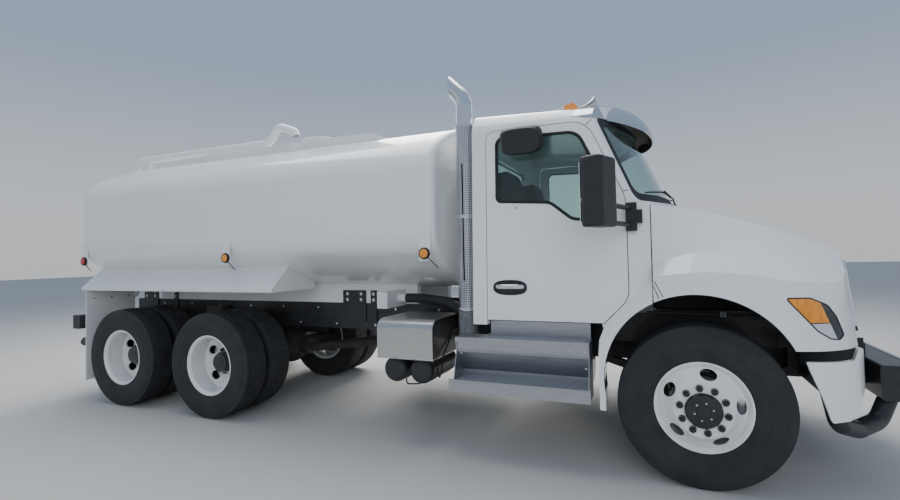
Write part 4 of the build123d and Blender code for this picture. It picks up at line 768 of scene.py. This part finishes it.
# Cab seams: short joints between the door and the windshield, and the joint of the quarter fender
SEAM_LINES = [
    ("cab_shell", (-0.732, 2.518), (-0.668, 2.574)),
    ("cab_shell", (-0.468, 2.016), (-0.424, 2.022)),
]
FENDER_LINES = [
    ("hood", (-0.284, 1.398), (-0.216, 1.262)),
    ("hood", (-0.284, 1.362), (-0.244, 1.252)),
]
seams = Shape()
hood_seams = Shape()
for side in SIDES.values():
    for lines, target in ((SEAM_LINES, seams), (FENDER_LINES, hood_seams)):
        for node, start, end in lines:
            route = drape(node, side, along((AXLE + start[0], start[1]), (AXLE + end[0], end[1])), 0.0005)
            if len(route) > 1:
                target.tube(route, 0.0028, 6)
piece("cab_seams", seams, rubber)
piece("fender_seams", hood_seams, rubber, "hood")


# Door handles, locks and the small mirror above the right window

def oval(length, height, steps=40, power=2.6):
    points = []
    for k in range(steps):
        a = 2 * pi * k / steps
        c, s = cos(a), sin(a)
        points.append((abs(c) ** (2 / power) * (1 if c > 0 else -1) * length / 2,
                       abs(s) ** (2 / power) * (1 if s > 0 else -1) * height / 2))
    return points


HANDLE = (AXLE - 1.315, 1.314)
HANDLE_SIZE = (0.272, 0.118)
for name, side in SIDES.items():
    def on_door(u, v, proud):
        return Vector((HANDLE[0] + u, side * (cab_side(HANDLE[1] + v) + proud), HANDLE[1] + v))

    plate = Shape()
    plate_steps = ((1.0, -0.001), (1.0, 0.004), (0.95, 0.008), (0.86, 0.009), (0.80, 0.001))
    plate.rings([[on_door(u * share, v * share, proud) for u, v in oval(*HANDLE_SIZE)]
                 for share, proud in plate_steps])
    piece(f"handle_plate_{name}", plate, plastic, f"door_{name}")
    bar = Shape()
    bar_steps = ((-0.108, 0.004), (-0.098, 0.013), (-0.05, 0.016),
                 (0.05, 0.016), (0.098, 0.013), (0.108, 0.004))
    bar_route = [on_door(u, 0.006, proud) for u, proud in bar_steps]
    bar.tube(bar_route, 0.017, 12, flat=((0, side, 0), 0.45))
    piece(f"handle_bar_{name}", bar, chrome, f"door_{name}")
    lock = Shape().lathe([(0, 0.012), (0.004, 0.0115), (0.005, 0.009), (0.005, 0)],
                         (AXLE - 1.260, side * cab_side(1.937), 1.937), (0, side, 0), 20)
    piece(f"door_lock_{name}", lock, bright, f"door_{name}")

view_mirror = Shape()
look_matrix = Matrix.Translation((AXLE - 1.185, -cab_side(2.45) - 0.095, 2.450))
look_matrix = look_matrix @ Matrix.Rotation(radians(18), 4, "X")
look_outline = oval(0.330, 0.215, 36, 4.0)
look_steps = ((0.90, -0.060), (0.985, -0.045), (1.0, -0.010), (0.97, 0.020), (0.86, 0.045))
view_mirror.rings([[look_matrix @ Vector((u * share, -proud, v * share)) for u, v in look_outline]
                   for share, proud in look_steps])
view_mirror.tube([(AXLE - 1.185, -cab_side(2.54) + 0.004, 2.560),
                  (AXLE - 1.185, -cab_side(2.5) - 0.06, 2.520)], 0.016, 12)
piece("look_down_mirror", view_mirror, plastic, "door_right")


# Mirror glass on the back of each mirror head

MIRROR_HEAD = (AXLE - 0.575, 1.560, 1.9585)
MIRROR_TURN = 22.0
for name, side in SIDES.items():
    head = Matrix.Translation((MIRROR_HEAD[0], side * MIRROR_HEAD[1], MIRROR_HEAD[2]))
    head = head @ Matrix.Rotation(radians(side * MIRROR_TURN), 4, "Z")
    panes = Shape()
    for low, high in ((-0.190, 0.040), (0.058, 0.190)):
        panes.box((-0.079, -0.100, -high), (-0.0745, 0.100, -low), head)
    piece(f"mirror_glass_{name}", panes, mirror_glass)

# Wipers
wipers = Shape()
for pivot_y, tip_y in ((-0.14, -0.86), (0.62, -0.10)):
    pivot = screen_point(pivot_y, 1.962, -0.012)
    reach = tip_y - pivot_y
    knee = screen_point(pivot_y + reach * 0.5, 2.056, -0.030)
    wipers.tube([pivot, screen_point(pivot_y + reach * 0.2, 2.006, -0.034), knee], 0.0065, 8)
    wipers.lathe([(-0.02, 0.017), (0.012, 0.017), (0.016, 0.012), (0.016, 0)], pivot, (0.87, 0, 0.48), 16)
    blade = [screen_point(pivot_y + reach * t, 2.052 - 0.05 * abs(t - 0.5) - 0.012 * t, -0.012)
             for t in (0.08, 0.22, 0.36, 0.5, 0.64, 0.78, 0.92, 1.0)]
    wipers.tube(blade, 0.006, 6)
    wipers.tube([p + Vector((0.010, 0, 0.004)) for p in blade[1:-1]], 0.004, 6)
piece("wipers", wipers, plastic)


# Steps: raised treads, bolts and a bare upper edge strip

treads = Shape()
step_bolts = Shape()


def tread_rows(x0, x1, y0, y1, z, pitch=0.017):
    across = max(1, int((y1 - y0) / pitch))
    along = int((x1 - x0) / pitch)
    for i in range(along):
        for j in range(across):
            x = x0 + (i + 0.5 + 0.25 * (j % 2)) * (x1 - x0) / along
            y = y0 + (j + 0.5) * (y1 - y0) / across
            treads.lathe([(0, 0.0062), (0.003, 0.0046), (0.003, 0.0028), (0.0005, 0.0026), (0.0005, 0)],
                         (x, y, z), (0, 0, 1), 8)


UPPER_STEP = 0.930
LOWER_STEP = 0.610
tread_rows(AXLE - 1.520, AXLE - 0.745, 1.020, 1.185, UPPER_STEP)
tread_rows(AXLE - 1.720, AXLE - 0.730, 1.055, 1.235, LOWER_STEP)
for x in (-1.700, -1.520, -1.300, -1.050, -0.850, -0.740):
    step_bolts.bolt((AXLE + x, 1.1745, 0.866), (0, 1, 0), 0.005, 0.003)
for x, z in ((-1.700, 0.800), (-0.740, 0.740), (-0.742, 0.600)):
    step_bolts.bolt((AXLE + x, 1.158, z), (0, 1, 0), 0.005, 0.003)
ridge = Shape()
ridge.tube([(AXLE - 1.725, 1.172, 0.820), (AXLE - 0.720, 1.172, 0.820)], 0.007, 8)
ridge.tube([(AXLE - 1.738, 1.1995, 0.9275), (AXLE - 0.712, 1.1995, 0.9275)], 0.004, 8)
ridge.tube([(AXLE - 1.738, 1.2495, 0.6075), (AXLE - 0.712, 1.2495, 0.6075)], 0.004, 8)
piece("step_treads", treads.mirrored(), step_metal)
piece("step_bolts", step_bolts.mirrored(), bright)
piece("step_edges", ridge.mirrored(), steel)


# Battery box ends, straps on the tanks

box_low, box_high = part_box("battery_box")
box_end = [(-0.632, 0.735), (-0.632, 1.044), (-1.105, 1.044), (-1.150, 1.033), (-1.178, 1.008),
           (-1.194, 0.965), (-1.194, 0.735)]
ends = Shape()
for x, push in ((box_high.x - 0.001, 0.004), (box_low.x + 0.001, -0.004)):
    ends.prism([(x, y, z) for y, z in box_end], (push, 0, 0))
for y in (-0.75, -1.08):
    ends.bolt((box_high.x + 0.003, y, 0.99), (1, 0, 0), 0.009, 0.006)
piece("battery_box_ends", ends, black)
latch = Shape()
latch.box((AXLE - 2.30, -1.2045, 0.735), (AXLE - 2.27, -1.1995, 0.742))
latch.box((AXLE - 2.12, -1.2045, 0.735), (AXLE - 2.09, -1.1995, 0.742))
latch.tube([(box_low.x, -1.1985, 0.7300), (box_high.x, -1.1985, 0.7300)], 0.005, 6)
piece("battery_box_lip", latch, steel)

FUEL_TANK_AXIS = (0.790, 0.740)
AIR_TANK_HEIGHT = 0.6207
straps = Shape()
for x in (AXLE - 2.82, AXLE - 2.12):
    straps.lathe([(-0.03, 0.300), (-0.03, 0.3035), (0.03, 0.3035), (0.03, 0.300)],
                 (x, *FUEL_TANK_AXIS), (1, 0, 0), 64)
for distance in (-2.325, -2.080):
    for y in (-1.00, -0.70):
        straps.lathe([(-0.015, 0.108), (-0.015, 0.1105), (0.015, 0.1105), (0.015, 0.108)],
                     (AXLE + distance, y, AIR_TANK_HEIGHT), (0, 1, 0), 40)
piece("tank_straps", straps, black)
fuel_cap = Shape()
fuel_cap.lathe([(0, 0.05), (0.02, 0.05), (0.028, 0.045), (0.028, 0)],
               (AXLE - 2.45, 0.86, 1.028), (0, 0.25, 1), 32)
piece("fuel_cap", fuel_cap, chrome)

# Air lines that loop under the air tanks
loop = Shape()
loop.tube(smooth_route([(AXLE - 1.962, -1.06, 0.640), (AXLE - 1.925, -1.10, 0.560),
                        (AXLE - 1.900, -1.10, 0.640), (AXLE - 1.905, -1.06, 0.740),
                        (AXLE - 1.930, -0.80, 0.900), (AXLE - 1.930, -0.45, 0.930)], 0.06), 0.007)
loop.tube(smooth_route([(AXLE - 2.200, -1.15, 0.560), (AXLE - 2.190, -1.17, 0.520),
                        (AXLE - 2.120, -1.12, 0.512), (AXLE - 2.080, -1.06, 0.513)], 0.03), 0.006)
piece("air_lines", loop, rubber)


# Marker lamps: rubber ring, domed lens and wire

LAMP_Z = 1.596
LAMP_FACE = 1.226
rings_shape = Shape()
lenses = Shape()
red_lenses = Shape()
wires = Shape()
for distance, target in ((-4.140, lenses), (-1.975, lenses), (-6.340, red_lenses)):
    for side in SIDES.values():
        start = (AXLE + distance, side * LAMP_FACE, LAMP_Z)
        out = (0, side, 0)
        rings_shape.lathe([(0, 0.0485), (0.012, 0.0485), (0.020, 0.044), (0.022, 0.038), (0.016, 0.0355)],
                          start, out, 32)
        target.lathe([(0.012, 0.0362), (0.021, 0.0355), (0.0245, 0.030), (0.0265, 0.018), (0.027, 0)],
                     start, out, 32)
        route = [(AXLE + distance + 0.03, side * 1.240, LAMP_Z - 0.030),
                 (AXLE + distance + 0.075, side * 1.232, LAMP_Z - 0.075),
                 (AXLE + distance + 0.115, side * 1.2235, LAMP_Z - 0.115)]
        wires.tube(smooth_route(route, 0.04), 0.0045, 6)
piece("lamp_rings", rings_shape, rubber)
piece("side_lamp_lenses", lenses, amber)
piece("tail_side_lenses", red_lenses, red)
piece("lamp_wires", wires, rubber)

# Rings and ribbed lenses of the tail lamps, and the rim of the headlights
tail_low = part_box("tail_lamps")[0]
tail_rings = Shape()
tail_lenses = Shape()
for y in (0.700, 0.860, 1.020):
    start = (tail_low.x + 0.004, y, 0.880)
    tail_rings.lathe([(-0.004, 0.0565), (-0.004, 0.064), (0.002, 0.066), (0.007, 0.062), (0.007, 0.052)],
                     start, (-1, 0, 0), 40)
    tail_lenses.lathe([(0.0035, 0.0535), (0.006, 0.050), (0.0062, 0.034), (0.0085, 0.032), (0.0085, 0.016),
                       (0.0105, 0.014), (0.0105, 0)], start, (-1, 0, 0), 40)
piece("tail_lamp_rings", tail_rings.mirrored(), rubber)
piece("tail_lamp_lenses", tail_lenses.mirrored(), red)
rim_lines = edge_lines("headlights", lambda p: abs(p.y) > 0.9, 0.0045)
piece("headlight_rims", rim_lines, plastic, "hood")


# Bolts on the sill brackets, the mudflaps and the frame rails

BRACKET_FACE = 0.4442           # |y| of the sill brackets' outer face
RAIL_FACE = 0.430
bolts = Shape()
for distance in (-3.269, -3.101, -2.950, -5.845, -6.378, -6.222):
    for z in (1.135, 1.195):
        bolts.bolt((AXLE + distance, BRACKET_FACE, z), (0, 1, 0), 0.013, 0.012)
for y in (0.72, 0.93, 1.13):
    bolts.bolt((AXLE - 6.328, y, 1.165), (1, 0, 0), 0.009, 0.006)
    bolts.bolt((AXLE - 6.340, y, 1.165), (-1, 0, 0), 0.009, 0.006)
for k in range(19):
    bolts.bolt((AXLE - 6.30 + k * 0.24, RAIL_FACE, 0.875 + 0.17 * (k % 2)), (0, 1, 0), 0.010, 0.008)
piece("frame_bolts", bolts.mirrored(), bright)


# Pipe along the top of the wheel house, with its clip
house_pipe = Shape()
for side in SIDES.values():
    house_pipe.tube(smooth_route([(AXLE - 0.335, side * 0.705, 1.104), (AXLE + 0.560, side * 0.705, 1.100),
                                  (AXLE + 0.640, side * 0.560, 1.080), (AXLE + 0.640, side * 0.436, 1.060)],
                                 0.08), 0.010, 10)
piece("house_pipes", house_pipe, black)
clips = Shape()
for side in SIDES.values():
    clips.box((AXLE + 0.166, side * 0.7185 - 0.0015, 1.084), (AXLE + 0.202, side * 0.7185 + 0.0015, 1.120))
    clips.lathe([(0, 0.013), (0.004, 0.013), (0.004, 0.009), (0.001, 0.008), (0.001, 0)],
                (AXLE + 0.184, side * 0.719, 1.100), (0, side, 0), 20)
piece("pipe_clips", clips, cast)


# Radiator screen behind the grille and a bright strip along the guard's top edge

screen = Shape()
RADIATOR_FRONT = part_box("radiator")[1].x
SCREEN_BARS = 60
for k in range(SCREEN_BARS):
    y = -0.40 + 0.80 * k / (SCREEN_BARS - 1)
    screen.box((RADIATOR_FRONT + 0.002, y - 0.002, 0.76), (RADIATOR_FRONT + 0.010, y + 0.002, 1.40))
for k in range(9):
    z = 0.78 + 0.60 * k / 8
    screen.box((RADIATOR_FRONT + 0.001, -0.41, z - 0.004), (RADIATOR_FRONT + 0.008, 0.41, z + 0.004))
piece("radiator_screen", screen, fins)
guard_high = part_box("front_guard")[1]
strip = Shape().box((guard_high.x - 0.030, -0.700, 0.7985), (guard_high.x - 0.004, 0.700, 0.8035))
piece("guard_strip", strip, steel)


# Manhole clamps

LID_AXIS = AXLE - 3.870
LID_TOP = 2.966
CLAMP_CIRCLE = 0.235
CLAMPS = 6
fittings = Shape()
for k in range(CLAMPS):
    angle = 2 * pi * (k + 0.5) / CLAMPS
    spot = Vector((LID_AXIS + cos(angle) * CLAMP_CIRCLE, sin(angle) * CLAMP_CIRCLE, LID_TOP))
    fittings.lathe([(0, 0.016), (0.020, 0.016), (0.024, 0.012), (0.024, 0)], spot, (0, 0, 1), 6)
handle = smooth_route([(AXLE - 4.02, -0.06, 2.976), (AXLE - 4.02, -0.06, 3.02), (AXLE - 4.02, 0.06, 3.02),
                       (AXLE - 4.02, 0.06, 2.976)], 0.02)
fittings.tube(handle, 0.008, 10)
piece("lid_fittings", fittings, cast, "manhole_lid")


# Seats: closed crowned cushions with two sewn channels

def cushion(size, crown, channels, cells=26, power=8.0):
    """Points and faces of a rounded block that swells on its upper side and dips along the channels."""
    verts = {}
    faces = []

    def point(i, j, face):
        u = 2 * i / cells - 1
        v = 2 * j / cells - 1
        raw = {0: (u, v, 1), 1: (v, u, -1), 2: (1, u, v), 3: (-1, v, u), 4: (v, 1, u), 5: (u, -1, v)}[face]
        key = tuple(round(c, 6) for c in raw)
        if key not in verts:
            share = sum(abs(c) ** power for c in raw) ** (-1 / power)
            x, y, z = (c * share for c in raw)
            lift = crown * (1 - x * x) * (1 - y * y) if z > 0 else 0.0
            dip = sum(0.011 * 2.718 ** (-((y * size[1] - c) / 0.010) ** 2) for c in channels)
            lift -= dip * max(0.0, z) ** 2
            verts[key] = (len(verts), Vector((x * size[0], y * size[1], z * size[2] + lift)))
        return verts[key][0]

    for face in range(6):
        for i in range(cells):
            for j in range(cells):
                faces.append((point(i, j, face), point(i + 1, j, face), point(i + 1, j + 1, face),
                              point(i, j + 1, face)))
    return [p for _, p in sorted(verts.values(), key=lambda item: item[0])], faces


SEAT = (AXLE - 1.120, 0.470)
CAB_FLOOR = 1.145
for name, side in SIDES.items():
    base = Matrix.Translation((SEAT[0] + 0.005, side * SEAT[1], CAB_FLOOR + 0.330))
    back = Matrix.Translation((SEAT[0] - 0.250, side * SEAT[1], CAB_FLOOR + 0.330))
    back = back @ Matrix.Rotation(radians(-8), 4, "Y") @ Matrix.Translation((0, 0, 0.410))
    back = back @ Matrix.Rotation(radians(90), 4, "Y")
    for part, matrix, size in (("base", base, (0.279, 0.262, 0.080)), ("back", back, (0.424, 0.252, 0.070))):
        points, faces = cushion(size, 0.022, (-0.150, 0.150))
        pad = Shape().add([matrix @ p for p in points], faces)
        piece(f"seat_{part}_{name}", pad, cloth, smooth=60)


# Floor, light and camera

def plain(name, colour, rough):
    return surface(name, colour, rough=rough, grain=0.8, vary=0.012, rough_spread=0.02)


floor_mesh = bpy.data.meshes.new("floor")
FLOOR = 60.0
floor_corners = [(-FLOOR, -FLOOR, 0), (FLOOR, -FLOOR, 0), (FLOOR, FLOOR, 0), (-FLOOR, FLOOR, 0)]
floor_mesh.from_pydata(floor_corners, [], [(0, 1, 2, 3)])
floor = link("floor", floor_mesh)
floor_mesh.materials.append(plain("floor_finish", (0.56, 0.55, 0.53), 0.85))

world = bpy.data.worlds.new("studio")
bpy.context.scene.world = world
world.use_nodes = True
tree = world.node_tree
sky = tree.nodes["Background"]
where = tree.nodes.new("ShaderNodeTexCoord")
split = tree.nodes.new("ShaderNodeSeparateXYZ")
shade = tree.nodes.new("ShaderNodeValToRGB")
tree.links.new(where.outputs["Generated"], split.inputs["Vector"])
tree.links.new(split.outputs["Z"], shade.inputs["Fac"])
stops = [(0.0, (0.80, 0.81, 0.83)), (0.10, (0.80, 0.84, 0.90)), (0.35, (0.42, 0.54, 0.72)),
         (1.0, (0.50, 0.60, 0.76))]
shade.color_ramp.elements[0].position = stops[0][0]
shade.color_ramp.elements[0].color = (*stops[0][1], 1)
shade.color_ramp.elements[1].position = stops[-1][0]
shade.color_ramp.elements[1].color = (*stops[-1][1], 1)
for position, colour in stops[1:-1]:
    shade.color_ramp.elements.new(position).color = (*colour, 1)
tree.links.new(shade.outputs["Color"], sky.inputs["Color"])
sky.inputs["Strength"].default_value = 0.75


def area_light(name, place, target, size, power, colour):
    light = bpy.data.lights.new(name, "AREA")
    light.size = size
    light.energy = power
    light.color = colour
    thing = link(name, light)
    thing.location = place
    thing.rotation_mode = "QUATERNION"
    thing.rotation_quaternion = (Vector(target) - Vector(place)).to_track_quat("-Z", "Y")
    return thing


area_light("top_light", (-1.5, 1.5, 10.0), (0, 0, 0.5), 9.0, 900, (1.0, 0.98, 0.95))
area_light("back_light", (-3.0, 9.0, 7.5), (0, 0, 1.5), 6.0, 900, (1.0, 0.96, 0.90))
side_light = area_light("side_light", (5.0, -12.0, 5.0), (0.5, 0, 1.2), 8.0, 500, (0.93, 0.96, 1.0))
side_light.visible_glossy = False

CAMERA_OFFSET = Vector((-0.242, -4.790, 1.573))
YAW = radians(-22.94)
PITCH = radians(1.80)
ROLL = radians(-1.21)
FOCAL = 489.5                   # pixels, for a picture 900 pixels wide
PICTURE_WIDTH = 900.0
PICTURE_HEIGHT = 500.0
CENTRE_ROW = 240.3
SENSOR = 36.0
look = Vector((sin(YAW) * cos(PITCH), cos(YAW) * cos(PITCH), sin(PITCH)))
level = Vector((cos(YAW), -sin(YAW), 0))
rise = level.cross(look)
right = level * cos(ROLL) + rise * sin(ROLL)
up = rise * cos(ROLL) - level * sin(ROLL)
camera = link("camera", bpy.data.cameras.new("camera"))
turn = Matrix((right, up, -look)).transposed().to_4x4()
camera.matrix_world = Matrix.Translation(Vector((AXLE, 0, 0)) + CAMERA_OFFSET) @ turn
camera.data.sensor_width = SENSOR
camera.data.lens = SENSOR * FOCAL / PICTURE_WIDTH
camera.data.shift_y = (CENTRE_ROW - PICTURE_HEIGHT / 2) / PICTURE_WIDTH
bpy.context.scene.camera = camera
